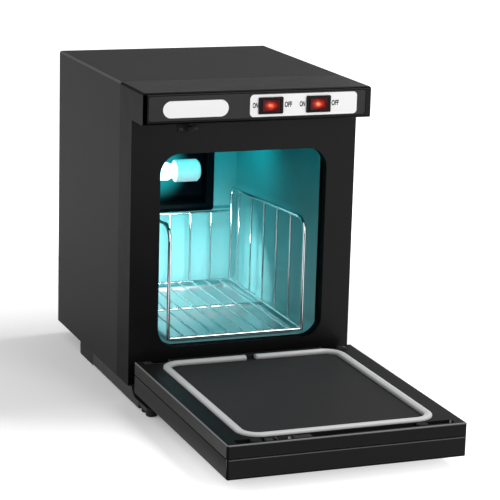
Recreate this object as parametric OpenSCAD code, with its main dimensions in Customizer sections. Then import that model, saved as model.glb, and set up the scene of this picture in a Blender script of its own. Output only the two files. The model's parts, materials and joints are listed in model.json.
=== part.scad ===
// Counter-top hot towel cabinet: a sheet-steel casing behind a moulded front frame,
// a warmed and lamp-lit cavity with a wire basket, and a drop-down door.
// x runs across, y runs back, z runs up. The door lies open, as the cabinet is loaded.

/* [Cabinet] */
// Width over the casing
body_w = 265; // [240:1:330]
// Height from the table to the top
body_h = 352; // [340:1:430]
// Depth from the front face to the rear panel
body_d = 285; // [270:1:350]
// Depth of the moulded front frame
frame_d = 42.5; // [36:0.5:55]
// Height of the casing's lower edge over the table
casing_z = 16.5; // [15:0.5:19]
// Thickness of the casing's sheet
sheet_t = 1; // [0.8:0.1:1.2]
// Wall of the mouldings
wall_t = 2.5; // [2:0.1:3]

/* [Hood] */
// How far the hood stands out over the door
hood_reach = 37.5; // [36:0.5:44]
// Height of the hood
hood_h = 35; // [33:0.5:40]

/* [Opening] */
// Width of the cavity's mouth
mouth_w = 197; // [164:1:204]
// Height of the cavity's mouth
mouth_h = 220; // [184:1:222]
// Height of the mouth's lower edge over the table
mouth_z = 57.5; // [56:0.5:64]
// Corner radius of the mouth
mouth_r = 23; // [14:1:30]
// Depth of the lip round the mouth
lip_d = 14; // [10:0.5:18]

/* [Cavity] */
// Depth of the liner
liner_d = 248; // [200:1:249]
// How far each liner wall leans in from front to rear
liner_draft = 7; // [2:0.5:9]
// Thickness of the liner's sheet
liner_t = 0.8; // [0.6:0.1:1]

/* [Door] */
// How far the door stands in from each side of the casing
door_side_gap = 1.75; // [1:0.25:4]
// Gap between the closed door and the hood's underside
door_top_gap = 1.7; // [1.2:0.1:3]
// Thickness of the door
door_t = 36.5; // [34:0.5:40]
// Gap between the closed door and the front face
door_gap = 3.2; // [2.8:0.1:4]
// Thickness of the inner part of the door, above the seam
door_inner_t = 14; // [12:0.5:16]
// Width of the door gasket
gasket_w = 9; // [8:0.5:12]
// How far the gasket stands over the rim
gasket_rise = 2.7; // [2:0.1:2.7]

/* [Hinge] */
// Height of the hinge axis over the table
hinge_z = 28; // [27:0.5:30]
// Distance from the hinge axis to the door's inner rim
hinge_rise = 21; // [19:0.5:22]
// Distance from the hinge axis to the door's hinge edge
hinge_tail = 8.7; // [7:0.1:9]
// Radius of the hinge pins
pin_r = 2; // [1.5:0.1:2.5]
// Sideways place of each hinge's middle
hinge_x = 102; // [84:1:108]

/* [Basket] */
// Clear gap between the basket and the liner's narrow end
basket_gap = 7; // [3:0.5:20]
// Diameter of the basket's frame wire
frame_wire = 4; // [3:0.5:5]
// Diameter of the basket's filling wire
fill_wire = 2.4; // [2:0.2:3]
// Height of the basket's sides at the front, over its floor
basket_h = 130; // [100:1:140]

/* [Switches] */
// Width of a switch bezel
bezel_w = 28.5; // [26:0.5:30]
// Height of a switch bezel
bezel_h = 18.4; // [17:0.2:20]
// Sideways place of the heater switch
heat_x = 13.2; // [12:0.2:16]
// Distance between the two switches
switch_pitch = 56; // [50:1:60]

/* [Lamp] */
// Radius of the lamp holder
holder_r = 13.8; // [12:0.2:15]
// Radius of the lamp's glass
lamp_r = 11; // [9:0.5:11]
// Length of the lamp's glass
lamp_len = 46; // [38:1:52]

/* [Hidden] */
$fn = 64;

// Clearances
seat_gap = 0.3;      // between pieces that lie against each other
pin_gap = 0.05;      // running fit of a pin in a bore
press_gap = 0.02;    // fixed pin in its hole

// Hinge line, and the row's middle between the open door's edge and the rear
hinge_y = -(hinge_rise + door_gap);
hood_z = body_h - hood_h;
door_w = body_w - 2 * door_side_gap;
door_len = hood_z - door_top_gap - hinge_z + hinge_tail;
door_reach = door_len - hinge_tail - hinge_y;
gland_reach = 7;
front_y = (door_reach - body_d - gland_reach) / 2;

// Front frame, hood and fascia
edge_r = 3;
frame_z = casing_z + 0.5;
fascia_t = 3;
fascia_w = body_w - 12;
fascia_h = hood_h - 7;
fascia_z = hood_z + hood_h / 2;
fascia_y = -hood_reach;
plate_t = 0.8;

// Cavity liner
liner_y = lip_d + seat_gap;
liner_hw = mouth_w / 2 - 1.5;
liner_z = mouth_z - 1.5;
liner_h = mouth_h + 9;
liner_back = liner_y + liner_d;
floor_draft = 1.2;
liner_floor = liner_z + floor_draft;

// Lamp recess in the liner's rear wall
recess_w = 104;
recess_h = 92;
recess_z = liner_z + liner_h - 80;
recess_d = 18;
recess_r = 3;
recess_flange = 8;
lamp_y = liner_back - 1;
lamp_z = recess_z - 2;
holder_x = 8;
holder_len = 28;

// Door, in its own frame: x across, y from the hinge axis to the free edge, z to the inner face
seam_z = hinge_rise - door_inner_t;
door_out_z = hinge_rise - door_t;
field_z = hinge_rise - 2;
free_y = door_len - hinge_tail;
gasket_x = mouth_w / 2 + 9.6;
gasket_y0 = 3.9;
gasket_y1 = mouth_z + mouth_h - hinge_z + 20.6;
gasket_r = mouth_r + 1;
trough_y = free_y - 9.5;
trough_w = door_w - 24;
trough_d = 10;
trough_step = -7;
shallow_d = 3.5;
leaf_hw = 11.7;
leaf_t = 1.5;
web_y = 1.9;
tab_l = 8;
leaf_screw_y = -3;
knuckle_r = 4.5;
arm_hw = 8;
arm_t = 2.4;

// Catch: a steel tongue on the frame between two springs in the door
catch_x = -68;
catch_w = 49.5;
block_x = catch_x + 5.8;

// Switches
switch_x = [heat_x, heat_x + switch_pitch];
pocket_w = 20.6;
pocket_h = 13.6;
rocker_r = pocket_w / 2 - 0.4;
rocker_tilt = 10;
rocker_y = fascia_y - plate_t - 0.6;
trunnion_r = 1.4;

// Basket
basket_w = 2 * (liner_hw - liner_draft - basket_gap) - frame_wire;
tray_h = 3.4;
cross_wire = frame_wire - 0.4;
basket_z = liner_floor + seat_gap + tray_h + seat_gap + cross_wire / 2;
basket_y0 = 12 + frame_wire;
basket_y1 = liner_back - 10;
side_wires = 5;
rear_wires = 6;
floor_wires = 8;

// Base and feet
base_w = body_w - 3;
toe_reach = 35;
toe_clear = norm([hinge_tail, door_t - hinge_rise]) + 0.7;
base_back = 139;
skirt_z = 1.5;
deck_z = casing_z - 0.1;
ledge_z = frame_z + 1.3;
foot_r = 6.5;
foot_h = 5;
arm_top = hinge_z - toe_clear;

// ---- shared shapes ----

// Everything in the cabinet's frame: y = 0 on the front face
module cab() translate([0, front_y, 0]) children();

// Everything in the door's frame, laid open
module on_door() cab() translate([0, hinge_y, hinge_z]) mirror([0, 1, 0]) children();

// An outline in x and z, run back from y0 to y1
module run_back(y0, y1) translate([0, y1, 0]) rotate([90, 0, 0]) linear_extrude(y1 - y0) children();

// An outline in y and z, run across from x0 to x1
module run_across(x0, x1) translate([x0, 0, 0]) rotate([90, 0, 90]) linear_extrude(x1 - x0) children();

// Rectangle from its lower left corner with round corners
module round_rect(x, y, w, h, r) {
    translate([x + r, y]) square([w - 2 * r, h]);
    translate([x, y + r]) square([w, h - 2 * r]);
    for (cx = [x + r, x + w - r], cy = [y + r, y + h - r]) translate([cx, cy]) circle(r);
}

// The same, centred on x = 0
module mid_rect(w, y, h, r) round_rect(-w / 2, y, w, h, r);

module both_sides() { children(); mirror([1, 0, 0]) children(); }

// Pan-head screw standing along -z from its seat at z = 0, head above
module pan_screw(shank_r, shank_l, head_r, head_h) {
    difference() {
        union() {
            translate([0, 0, -shank_l]) cylinder(h = shank_l, r = shank_r);
            cylinder(h = head_h * 0.45, r = head_r);
            translate([0, 0, head_h * 0.45]) cylinder(h = head_h * 0.55, r1 = head_r, r2 = head_r * 0.6);
        }
        for (a = [0, 90]) rotate([0, 0, a])
            translate([-head_r * 0.5, -0.35, head_h * 0.5]) cube([head_r, 0.7, head_h]);
    }
}

// ---- casing ----

panel_gap = 0.3;
panel_w = body_w - 2 * sheet_t - 2 * panel_gap;
panel_h = body_h - sheet_t - casing_z - sheet_t - 2 * panel_gap;
panel_z = casing_z + sheet_t + panel_gap;
flange_w = 12;
rear_screw_at = [for (x = [-1, 1], z = [0.06, 0.5, 0.94]) [x * (panel_w / 2 - 7), panel_z + z * panel_h]];

module casing_outline(inset) {
    x = body_w / 2 - inset;
    difference() {
        round_rect(-x, casing_z - 10 + inset, 2 * x, body_h - casing_z + 10 - 2 * inset,
            max(edge_r - inset, 0.6));
        translate([-body_w, casing_z - 20 + inset]) square([2 * body_w, 20]);
    }
}

// Folded cover: top, two sides, and the flanges that take the bottom plate and rear panel
module casing() color("#38383a") cab() {
    y0 = frame_d + 0.2;
    difference() {
        run_back(y0, body_d) casing_outline(0);
        run_back(y0 - 1, body_d - 2 * sheet_t - panel_gap) casing_outline(sheet_t);
        run_back(body_d - 10, body_d - 2 * sheet_t - panel_gap + 5) offset_frame(flange_w);
        run_back(body_d - sheet_t - panel_gap, body_d + 1) casing_outline(sheet_t);
        translate([-body_w / 2 + flange_w, y0 - 1, casing_z - 1])
            cube([body_w - 2 * flange_w, body_d, sheet_t + 2]);
        for (s = rear_screw_at) translate([s[0], body_d - 10, s[1]]) rotate([-90, 0, 0])
            cylinder(h = 20, r = 1.7);
        for (s = foot_screw_at) translate([s[0], s[1], casing_z - 1]) cylinder(h = 5, r = 2.1);
    }
}

// Clear area inside the rear flange
module offset_frame(w) {
    translate([-body_w / 2 + w, casing_z + w]) square([body_w - 2 * w, body_h - casing_z - 2 * w]);
}

louvre_w = 60;
louvre_rows = 7;
louvre_pitch = 11;
louvre_banks = [[-62, 60], [62, 60], [0, 215]];

// One louvre: a slot under a half-round hood that is open below
module louvre_hood() difference() {
    rotate([0, 90, 0]) cylinder(h = louvre_w, r = 3.6, center = true);
    rotate([0, 90, 0]) cylinder(h = louvre_w - 2, r = 2.7, center = true);
    translate([-louvre_w, -10, -10]) cube([2 * louvre_w, 10, 20]);
    translate([-louvre_w, -10, -10]) cube([2 * louvre_w, 20, 10]);
}

// Rear panel with three banks of louvres, screw holes and the cord's hole
module rear_panel() color("#2c2c2e") cab() {
    difference() {
        run_back(body_d - sheet_t, body_d) mid_rect(panel_w, panel_z, panel_h, 1);
        for (b = louvre_banks, i = [0:louvre_rows - 1])
            translate([b[0] - louvre_w / 2 + 1, body_d - 5, b[1] + i * louvre_pitch])
                cube([louvre_w - 2, 10, 2.7]);
        for (s = rear_screw_at) translate([s[0], body_d - 5, s[1]]) rotate([-90, 0, 0])
            cylinder(h = 10, r = 1.7);
        translate([gland_x, body_d - 5, gland_z]) rotate([-90, 0, 0]) cylinder(h = 10, r = gland_r + 0.3);
    }
    for (b = louvre_banks, i = [0:louvre_rows - 1])
        translate([b[0], body_d, b[1] + i * louvre_pitch]) louvre_hood();
}

module rear_screws() color("#b8b8bc") cab()
    for (s = rear_screw_at) translate([s[0], body_d, s[1]]) rotate([-90, 0, 0]) pan_screw(1.5, 8, 3.1, 2.2);

plate_y0 = frame_d + 2;
plate_y1 = body_d - 2 * sheet_t - 2 * panel_gap - 0.4;
base_screw_at = [for (x = [-1, 1], y = [70, 125]) [x * 100, y]];
foot_screw_at = [for (x = [-1, 1], y = [152, 179]) [x * (base_w / 2 - 10), y]];

// Bottom plate on the casing's flanges, with cooling slots
module bottom_plate() color("#77777a") cab() difference() {
    translate([-body_w / 2 + sheet_t + panel_gap, plate_y0, casing_z + sheet_t + 0.1])
        cube([body_w - 2 * sheet_t - 2 * panel_gap, plate_y1 - plate_y0, sheet_t]);
    for (i = [0:7], y = [205, 245])
        translate([-77 + i * 22, y, casing_z]) linear_extrude(5) round_rect(-2, -14, 4, 28, 1.9);
    for (s = concat(base_screw_at, foot_screw_at)) translate([s[0], s[1], casing_z - 1])
        cylinder(h = 5, r = 2.1);
}

// ---- front frame ----

module frame_outline(inset) {
    x = body_w / 2 - inset;
    difference() {
        round_rect(-x, frame_z - 10, 2 * x, body_h - frame_z + 10 - inset, max(edge_r - inset, 0.6));
        translate([-body_w, frame_z - 20 + inset]) square([2 * body_w, 20]);
    }
}

// Side outline of the hood with round front corners
module hood_side(inset) {
    y0 = -hood_reach + inset;
    round_rect(y0, hood_z + inset, hood_reach + 12, hood_h - 2 * inset, max(edge_r - inset, 0.6));
}

module mouth_outline(grow) mid_rect(mouth_w + 2 * grow, mouth_z - grow, mouth_h + 2 * grow, mouth_r + grow);

// One moulding: frame round the mouth, its lip, and the hollow hood over the door
module front_frame() color("#262628") cab() difference() {
    union() {
        difference() {
            run_back(0, frame_d) frame_outline(0);
            run_back(wall_t, frame_d + 1) frame_outline(wall_t);
        }
        intersection() {
            run_across(-body_w / 2, body_w / 2) hood_side(0);
            run_back(-hood_reach - 1, 8) mid_rect(body_w, hood_z - 5, hood_h + 5, edge_r);
        }
        run_back(0, lip_d) mouth_outline(wall_t);
        // ribs that stiffen the face
        for (x = [-1, 1]) translate([x * (body_w / 2 - 14) - 1, 0, frame_z + 1])
            cube([2, 26, hood_z - frame_z]);
    }
    run_across(-body_w / 2 + wall_t, body_w / 2 - wall_t) hood_hollow();
    run_back(-5, lip_d + 1) mouth_outline(0);
    // fascia seat
    run_back(-hood_reach - 1, -hood_reach + fascia_t)
        mid_rect(fascia_w, fascia_z - fascia_h / 2, fascia_h, 3);
    // window behind the fascia
    run_back(-hood_reach - 1, -hood_reach + 8)
        mid_rect(fascia_w - 10, fascia_z - fascia_h / 2 + 4, fascia_h - 8, 2);
    for (s = bracket_screw_at) translate([s[0], -5, s[1]]) rotate([-90, 0, 0]) cylinder(h = 20, r = 1.45);
    for (z = tongue_screw_dz) translate([catch_x + z, -5, catch_z]) rotate([-90, 0, 0])
        cylinder(h = 20, r = 1.3);
}

// Hollow of the hood, open to the back
module hood_hollow() {
    y0 = -hood_reach + fascia_t + wall_t;
    translate([y0, hood_z + wall_t]) square([hood_reach + 12 + wall_t, hood_h - 2 * wall_t]);
}

// Inset panel across the hood's front, with the switch openings
module control_fascia() color("#333335") cab() difference() {
    run_back(-hood_reach, -hood_reach + fascia_t - 0.1)
        mid_rect(fascia_w - 0.6, fascia_z - fascia_h / 2 + 0.3, fascia_h - 0.6, 2.8);
    for (x = switch_x) run_back(-hood_reach - 1, 0) translate([x, fascia_z])
        square([24.6, 15.6], center = true);
}

name_x = -72.7;
name_w = 74.6;
name_h = 18.4;

// Bare label plate with round ends
module name_plate() color("#f2f2f2") cab()
    run_back(fascia_y - plate_t, fascia_y) translate([name_x, fascia_z - name_h / 2 - 1])
        mid_rect(name_w, 0, name_h, name_h / 2 - 0.01);

splate_x = 52.3;
splate_w = 126;
splate_h = 24.5;

// Light plate round the two switches
module switch_plate() color("#f2f2f2") cab() difference() {
    run_back(fascia_y - plate_t, fascia_y) translate([splate_x, fascia_z - splate_h / 2])
        mid_rect(splate_w, 0, splate_h, 4.5);
    for (x = switch_x) run_back(fascia_y - 5, fascia_y + 5) translate([x, fascia_z])
        square([24.6, 15.6], center = true);
}

// ---- switches, in a frame with the rocker's pivot at the origin and the back at +y ----

module at_switch(i) cab() translate([switch_x[i], rocker_y, fascia_z]) children();

// Snap-in housing: bezel, pocket, bearings for the rocker and two snap wings
module switch_housing() {
    back = fascia_y - plate_t - rocker_y;
    difference() {
        union() {
            run_back(back - 1.9, back) translate([0, -bezel_h / 2]) mid_rect(bezel_w, 0, bezel_h, 1.2);
            run_back(back - 2.6, back - 1.8) square([pocket_w + 1.6, pocket_h + 1.6], center = true);
            run_back(back, back + 19) square([24, 15], center = true);
            both_sides() run_back(back + 5, back + 9) translate([12, 0]) square([1.6, 6], center = true);
        }
        run_back(-5, 12.4) square([pocket_w, pocket_h], center = true);
        cylinder(h = pocket_h + 0.9, r = trunnion_r + pin_gap, center = true);
        // slots for the three tabs
        for (x = [-6, 0, 6]) translate([x, 15, 0]) cube([1.1, 12, 4.9], center = true);
    }
}

module heat_switch_housing() color("#161618") at_switch(0) switch_housing();
module uv_switch_housing() color("#161618") at_switch(1) switch_housing();

// Rocker outline about its pivot, level: a shallow V face on a round-ended body
module rocker_outline() intersection() {
    circle(rocker_r);
    polygon([[-12, -3.4], [0, -1.7], [12, -3.4], [12, 2], [4.5, 6.5], [-4.5, 6.5], [-12, 2]]);
}

module rocker() {
    linear_extrude(pocket_h - 0.8, center = true) rocker_outline();
    cylinder(h = pocket_h + 0.5, r = trunnion_r, center = true);
}

// Rest position: the ON end pressed in
module heat_rocker() color("#c81e14") at_switch(0) rotate([0, 0, -rocker_tilt]) rocker();
module uv_rocker() color("#c81e14") at_switch(1) rotate([0, 0, -rocker_tilt]) rocker();

// Neon capsules behind the rockers
module pilot_lamps() color("#ff7a2a") for (i = [0, 1]) at_switch(i) {
    translate([-4, 9.8, 0]) rotate([0, 90, 0]) cylinder(h = 8, r = 1.8);
    translate([4, 9.8, 0]) sphere(1.8);
}

// Three flat tabs on the back of each switch
module switch_tabs() color("#c9a455") for (i = [0, 1], x = [-6, 0, 6]) at_switch(i) difference() {
    translate([x - 0.4, 13, -2.35]) cube([0.8, 14, 4.7]);
    translate([x, 24, 0]) rotate([0, 90, 0]) cylinder(h = 4, r = 0.8, center = true);
}

// ---- cavity ----

// Tapered box that the liner's inner and outer faces follow
module liner_block(grow, y0, y1) {
    f = [1 - liner_draft / liner_hw, 1 - 2 * floor_draft / liner_h];
    translate([0, y0, liner_z + liner_h / 2]) rotate([-90, 0, 0])
        linear_extrude(y1 - y0, scale = f, slices = 1) round_rect(-liner_hw - grow, -liner_h / 2 - grow,
            2 * (liner_hw + grow), liner_h + 2 * grow, 12 + grow, $fn = 32);
}

// Pressed liner: tapered walls, a rear wall with the lamp's window, a flange behind the lip
module cavity_liner() color("#cfd6d8") cab() difference() {
    union() {
        liner_block(liner_t, liner_y, liner_back + liner_t);
        run_back(liner_y, liner_y + liner_t) mid_rect(mouth_w + 16, mouth_z - 9.5, liner_h + 16, 18);
    }
    liner_block(0, liner_y - 0.01, liner_back);
    run_back(liner_back - 5, liner_back + 5) mid_rect(recess_w + 1, recess_z - recess_h / 2 - 0.5,
        recess_h + 1, recess_r);
}

heater_w = 150;
heater_l = liner_d - 48;
heater_y = liner_y + 25;
heater_z = liner_z - liner_t - 0.2;

// Aluminium spreader plate under the liner's floor
module heater_plate() color("#b9bcc0") cab()
    translate([-heater_w / 2, heater_y, heater_z - 2]) cube([heater_w, heater_l, 2]);

// Silicone pad with a raised heating track that runs to and fro
module heater_pad() color("#b5532d") cab() translate([0, heater_y + 8, heater_z - 2.1 - 1.2]) {
    translate([-heater_w / 2 + 6, 0, 0]) cube([heater_w - 12, heater_l - 16, 1.2]);
    rows = 9;
    pitch = (heater_l - 36) / (rows - 1);
    span = heater_w - 36;
    for (i = [0:rows - 1]) translate([-span / 2, 10 + i * pitch - 2, -0.5]) cube([span, 4, 0.6]);
    for (i = [0:rows - 2]) translate([(i % 2 == 0 ? 1 : -1) * (span / 2 - 2) - 2, 10 + i * pitch - 2, -0.5])
        cube([4, pitch + 4, 0.6]);
}

// Snap-disc thermostat: cap with ears against the pad, base, and two tabs
module thermostat() color("#6b4a33") cab() translate([34, 110, heater_z - 2.1 - 1.2 - 0.5 - 0.2])
    rotate([180, 0, 0]) {
    difference() {
        union() {
            translate([-12, -3.5, 0]) cube([24, 7, 0.8]);
            cylinder(h = 3, r = 7.4);
            translate([0, 0, 3]) cylinder(h = 5.5, r = 8);
        }
        for (x = [-10, 10]) translate([x, 0, -1]) cylinder(h = 4, r = 1.6);
    }
    for (x = [-4, 4]) translate([x - 0.4, -2.4, 8.5]) cube([0.8, 4.8, 7]);
}

// One-shot fuse in its sleeve, with its leads and saddle clip
module thermal_fuse() color("#d8d2c4") cab() translate([-40, 110, heater_z - 2.1 - 1.2 - 0.5 - 2.4]) {
    rotate([90, 0, 0]) cylinder(h = 22, r = 2.2, center = true);
    rotate([90, 0, 0]) cylinder(h = 52, r = 0.5, center = true);
    difference() {
        translate([-7, -4, -2.9]) cube([14, 8, 5.2]);
        translate([-8, -5, -4]) cube([4.9, 10, 5.3]);
        translate([3.1, -5, -4]) cube([4.9, 10, 5.3]);
    }
}

blanket_t = 14;
blanket_y1 = liner_back - 6;

// Glass-fibre blanket over the liner's top and sides
module liner_insulation() color("#d9cf8a") cab() run_back(liner_y + 6, blanket_y1) difference() {
    x = liner_hw + liner_t + seat_gap;
    top = liner_z + liner_h + liner_t + seat_gap;
    mid_rect(2 * (x + blanket_t), liner_z + 2, top + blanket_t - liner_z - 2, 20);
    mid_rect(2 * x, liner_z - 40, top - liner_z + 40, 12);
}

// Board under the heater, with pockets for the thermostat and fuse
module floor_insulation() color("#d9cf8a") cab() difference() {
    translate([-heater_w / 2, heater_y, heater_z - 16]) cube([heater_w, heater_l, 12]);
    translate([34, 110, 0]) cylinder(h = 100, r = 13);
    translate([-40 - 9, 110 - 30, 0]) cube([18, 60, 100]);
}

// Black pan behind the liner's window, with a flange on the cavity side
module lamp_recess() color("#101418") cab() difference() {
    union() {
        run_back(liner_back - 1.5, liner_back - 0.2)
            mid_rect(recess_w + 2 * recess_flange, recess_z - recess_h / 2 - recess_flange,
                recess_h + 2 * recess_flange, recess_r + 1.5);
        run_back(liner_back - 1.5, liner_back + recess_d)
            mid_rect(recess_w, recess_z - recess_h / 2, recess_h, recess_r);
    }
    run_back(liner_back - 5, liner_back + recess_d - 1.5)
        mid_rect(recess_w - 3, recess_z - recess_h / 2 + 1.5, recess_h - 3, recess_r - 1.5);
}

// Lamp socket on its foot, its mouth to the left
module lamp_holder() color("#f4f4f2") cab() translate([holder_x, lamp_y, lamp_z]) {
    rotate([0, 90, 0]) difference() {
        union() {
            cylinder(h = holder_len, r = holder_r);
            translate([0, 0, holder_len]) cylinder(h = 3, r1 = holder_r, r2 = holder_r - 3);
        }
        // groove that sets off the ring at the mouth
        translate([0, 0, 3.2]) difference() {
            cylinder(h = 1.2, r = holder_r + 1);
            translate([0, 0, -1]) cylinder(h = 4, r = holder_r - 0.7);
        }
        translate([0, 0, -1]) cylinder(h = 16, r = holder_r - 1.8);
    }
    translate([9, holder_r - 1.5, -6])
        cube([14, liner_back + recess_d - lamp_y - 0.1 - holder_r, 12]);
}

// Lamp: screw cap in the socket, neck and glass with a round end
module uv_lamp() color("#bdf6ff") cab() translate([holder_x, lamp_y, lamp_z]) rotate([0, -90, 0])
    rotate_extrude() {
        translate([0, -14.5]) square([7.2, 16.5]);
        translate([0, 1]) square([8.4, 5]);
        translate([0, 4]) polygon([[0, 0], [8.4, 0], [lamp_r, 6], [0, 6]]);
        translate([0, 9]) square([lamp_r, lamp_len - lamp_r - 9]);
        intersection() {
            translate([0, lamp_len - lamp_r]) circle(lamp_r);
            translate([0, 0]) square([lamp_r, lamp_len + 1]);
        }
    }

bay_z = casing_z + 2 * sheet_t + 0.2;

// Choke for the lamp: laminated core with coil and feet
module lamp_ballast() color("#8d8f92") cab() translate([-60, 238, bay_z]) {
    difference() {
        translate([-24, -13, 0]) cube([48, 26, 1.2]);
        for (x = [-20, 20]) translate([x, 0, -1]) cylinder(h = 4, r = 1.8);
    }
    translate([-15, -13, 1.2]) cube([30, 26, 16]);
    translate([-11, -13, 3]) rotate([90, 0, 0]) linear_extrude(5) square([22, 12]);
    translate([-11, 13, 3]) translate([0, 5, 0]) rotate([90, 0, 0]) linear_extrude(5) square([22, 12]);
}

// Six-way terminal strip with its screw wells
module terminal_block() color("#e9e6da") cab() translate([30, 243, bay_z]) difference() {
    union() {
        translate([-26, -8, 0]) cube([52, 16, 5]);
        for (i = [0:4]) translate([-24 + i * 10, -5.5, 4.9]) cube([8, 11, 7]);
    }
    for (i = [0:4]) translate([-20 + i * 10, 0, 6]) cylinder(h = 10, r = 2);
    for (i = [0:4]) translate([-20 + i * 10, 0, 6.5]) rotate([90, 0, 0])
        cylinder(h = 30, r = 1.4, center = true);
}

gland_x = 96;
gland_z = 44;
gland_r = 7;

// Strain-relief bush for the mains cord
module cord_gland() color("#141414") cab() translate([gland_x, body_d, gland_z]) rotate([-90, 0, 0])
    difference() {
    union() {
        translate([0, 0, -10]) cylinder(h = 10, r = gland_r);
        cylinder(h = 3, r = gland_r + 2.5);
        translate([0, 0, 3]) cylinder(h = gland_reach - 3, r1 = gland_r, r2 = gland_r - 1.6);
    }
    translate([0, 0, -11]) cylinder(h = 30, r = 3.4);
}

// ---- basket and tray ----

module wire(a, b, d) {
    v = b - a;
    l = norm(v);
    translate(a) rotate([0, acos(v[2] / l), atan2(v[1], v[0])]) cylinder(h = l, r = d / 2);
}

// Ball at an elbow, a touch fatter than its wire
bead_rise = 0.06;
module bead(p, d) translate(p) sphere(d / 2 + bead_rise);

// Bend of a wire in the y-z plane: centre, radius, and the angles it runs between
module wire_bend(c, r, a0, a1, d) translate(c) rotate([a0, 0, 0]) rotate([90, 0, 90])
    rotate_extrude(angle = a1 - a0) translate([r, 0]) circle(d / 2);

front_bend = 16;
rear_bend = 8;
side_front_z = basket_z + basket_h;
side_fall = 3;                      // degrees that the side's top rail falls towards the rear
rear_rail_z = basket_z + 88;

// Height of a side's top rail at a given depth
function rail_z(y) = side_front_z - tan(side_fall) * (y - basket_y0);

// Inner face of a side's loop, where the other two grids end
grid_x = basket_w / 2 - frame_wire / 2 - bead_rise;

// One bent loop of frame wire, closed by a butt weld at the front corner
module side_loop() {
    front = [0, basket_y0 + front_bend, rail_z(basket_y0 + front_bend) - front_bend / cos(side_fall)];
    rear = [0, basket_y1 - rear_bend, rail_z(basket_y1 - rear_bend) - rear_bend / cos(side_fall)];
    lean = [0, sin(side_fall), cos(side_fall)];
    wire_bend(front, front_bend, 90 - side_fall, 180, frame_wire);
    wire_bend(rear, rear_bend, 0, 90 - side_fall, frame_wire);
    wire(front + lean * front_bend, rear + lean * rear_bend, frame_wire);
    wire([0, basket_y0, basket_z], [0, basket_y0, front[2]], frame_wire);
    wire([0, basket_y1, basket_z], [0, basket_y1, rear[2]], frame_wire);
    wire([0, basket_y0, basket_z], [0, basket_y1, basket_z], frame_wire);
    for (y = [basket_y0, basket_y1]) bead([0, y, basket_z], frame_wire);
    for (p = [front + lean * front_bend, front - [0, front_bend, 0],
              rear + lean * rear_bend, rear + [0, rear_bend, 0]]) bead(p, frame_wire);
}

// The basket's two arched sides, each a loop with uprights welded into it
module basket_sides() color("#d7dadd") cab() for (x = [-basket_w / 2, basket_w / 2]) translate([x, 0, 0]) {
    side_loop();
    for (i = [1:side_wires]) {
        y = basket_y1 - 12 - (basket_y1 - basket_y0 - 12) * (i - 0.65) / (side_wires + 0.35);
        wire([0, y, basket_z], [0, y, rail_z(y)], fill_wire);
    }
}

// Floor grid: three cross wires between the sides, with the long wires welded on top
module basket_floor() color("#d7dadd") cab() {
    for (y = [basket_y0, (basket_y0 + basket_y1) / 2, basket_y1])
        wire([-grid_x, y, basket_z], [grid_x, y, basket_z], cross_wire);
    for (i = [1:floor_wires]) {
        x = basket_w * (i / (floor_wires + 1) - 0.5);
        wire([x, basket_y0, basket_z + 2], [x, basket_y1 - fill_wire / 2 - 0.2, basket_z + 2], fill_wire);
    }
}

// Rear grid: a rail between the sides on uprights that stand on the rear cross wire
module basket_rear() color("#d7dadd") cab() {
    wire([-grid_x, basket_y1, rear_rail_z], [grid_x, basket_y1, rear_rail_z], fill_wire + 0.6);
    for (i = [1:rear_wires - 1]) {
        x = basket_w * (i / rear_wires - 0.5);
        wire([x, basket_y1, basket_z + cross_wire / 2], [x, basket_y1, rear_rail_z], fill_wire);
    }
}

tray_w = basket_w - 12;
tray_y0 = liner_y + 12;
tray_l = liner_d - 34;

// Shallow pressed tray on the liner's floor
module drip_tray() color("#c3c9cc") cab() translate([0, tray_y0, liner_floor + seat_gap]) difference() {
    linear_extrude(tray_h) round_rect(-tray_w / 2, 0, tray_w, tray_l, 8);
    translate([0, 0, 0.7]) linear_extrude(5) round_rect(-tray_w / 2 + 0.8, 0.8, tray_w - 1.6,
        tray_l - 1.6, 7.2);
}

// ---- base ----

// Side outline of the toe: a ledge, then a hollow that clears the door's corner
module toe_side() difference() {
    translate([-toe_reach, skirt_z]) square([toe_reach - 0.1, ledge_z - skirt_z]);
    translate([hinge_y, hinge_z]) circle(toe_clear);
    translate([-toe_reach - 1, arm_top]) square([toe_reach + 1 + hinge_y, 20]);
}

// Moulded base: deck and skirts under the cabinet, the toe under the door, two foot arms
base_rib_t = 1.8;
base_rib_y = [45, 92];

module base_frame() color("#2a2a2c") cab() difference() {
    union() {
        translate([-base_w / 2, -3, skirt_z]) cube([base_w, base_back + 3, deck_z - skirt_z]);
        run_across(-base_w / 2, base_w / 2) toe_side();
        for (x = [-1, 1]) translate([x * (base_w / 2 - foot_r - 0.5), 0, foot_h])
            linear_extrude(arm_top - foot_h) {
            translate([-foot_r, -59]) square([2 * foot_r, 30]);
            translate([0, -59]) circle(foot_r);
        }
    }
    difference() {
        translate([-base_w / 2 + wall_t, -toe_reach + wall_t, -1])
            cube([base_w - 2 * wall_t, base_back + toe_reach - 2 * wall_t, 9]);
        for (x = [-1, 1]) translate([x * (base_w / 2 - foot_r - 0.5) - foot_r - 2, -toe_reach, -2])
            cube([2 * foot_r + 4, 10, 20]);
    }
    // hollow from below, with cross ribs and one rib down the middle left under the deck
    difference() {
        translate([-base_w / 2 + wall_t, 8, -1]) cube([base_w - 2 * wall_t, base_back - 8 - wall_t,
            casing_z - wall_t + 1]);
        for (y = base_rib_y) translate([-base_w / 2, y - base_rib_t / 2, skirt_z + 2])
            cube([base_w, base_rib_t, casing_z]);
        translate([-base_rib_t / 2, 0, skirt_z + 2]) cube([base_rib_t, base_back, casing_z]);
    }
    for (x = [-1, 1], y = [-44, -59]) translate([x * (base_w / 2 - foot_r - 0.5), y, -1])
        cylinder(h = foot_h + 3.2, r = 2.02);
    for (s = base_screw_at) translate([s[0], s[1], 0]) cylinder(h = 30, r = 2.1);
}

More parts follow.
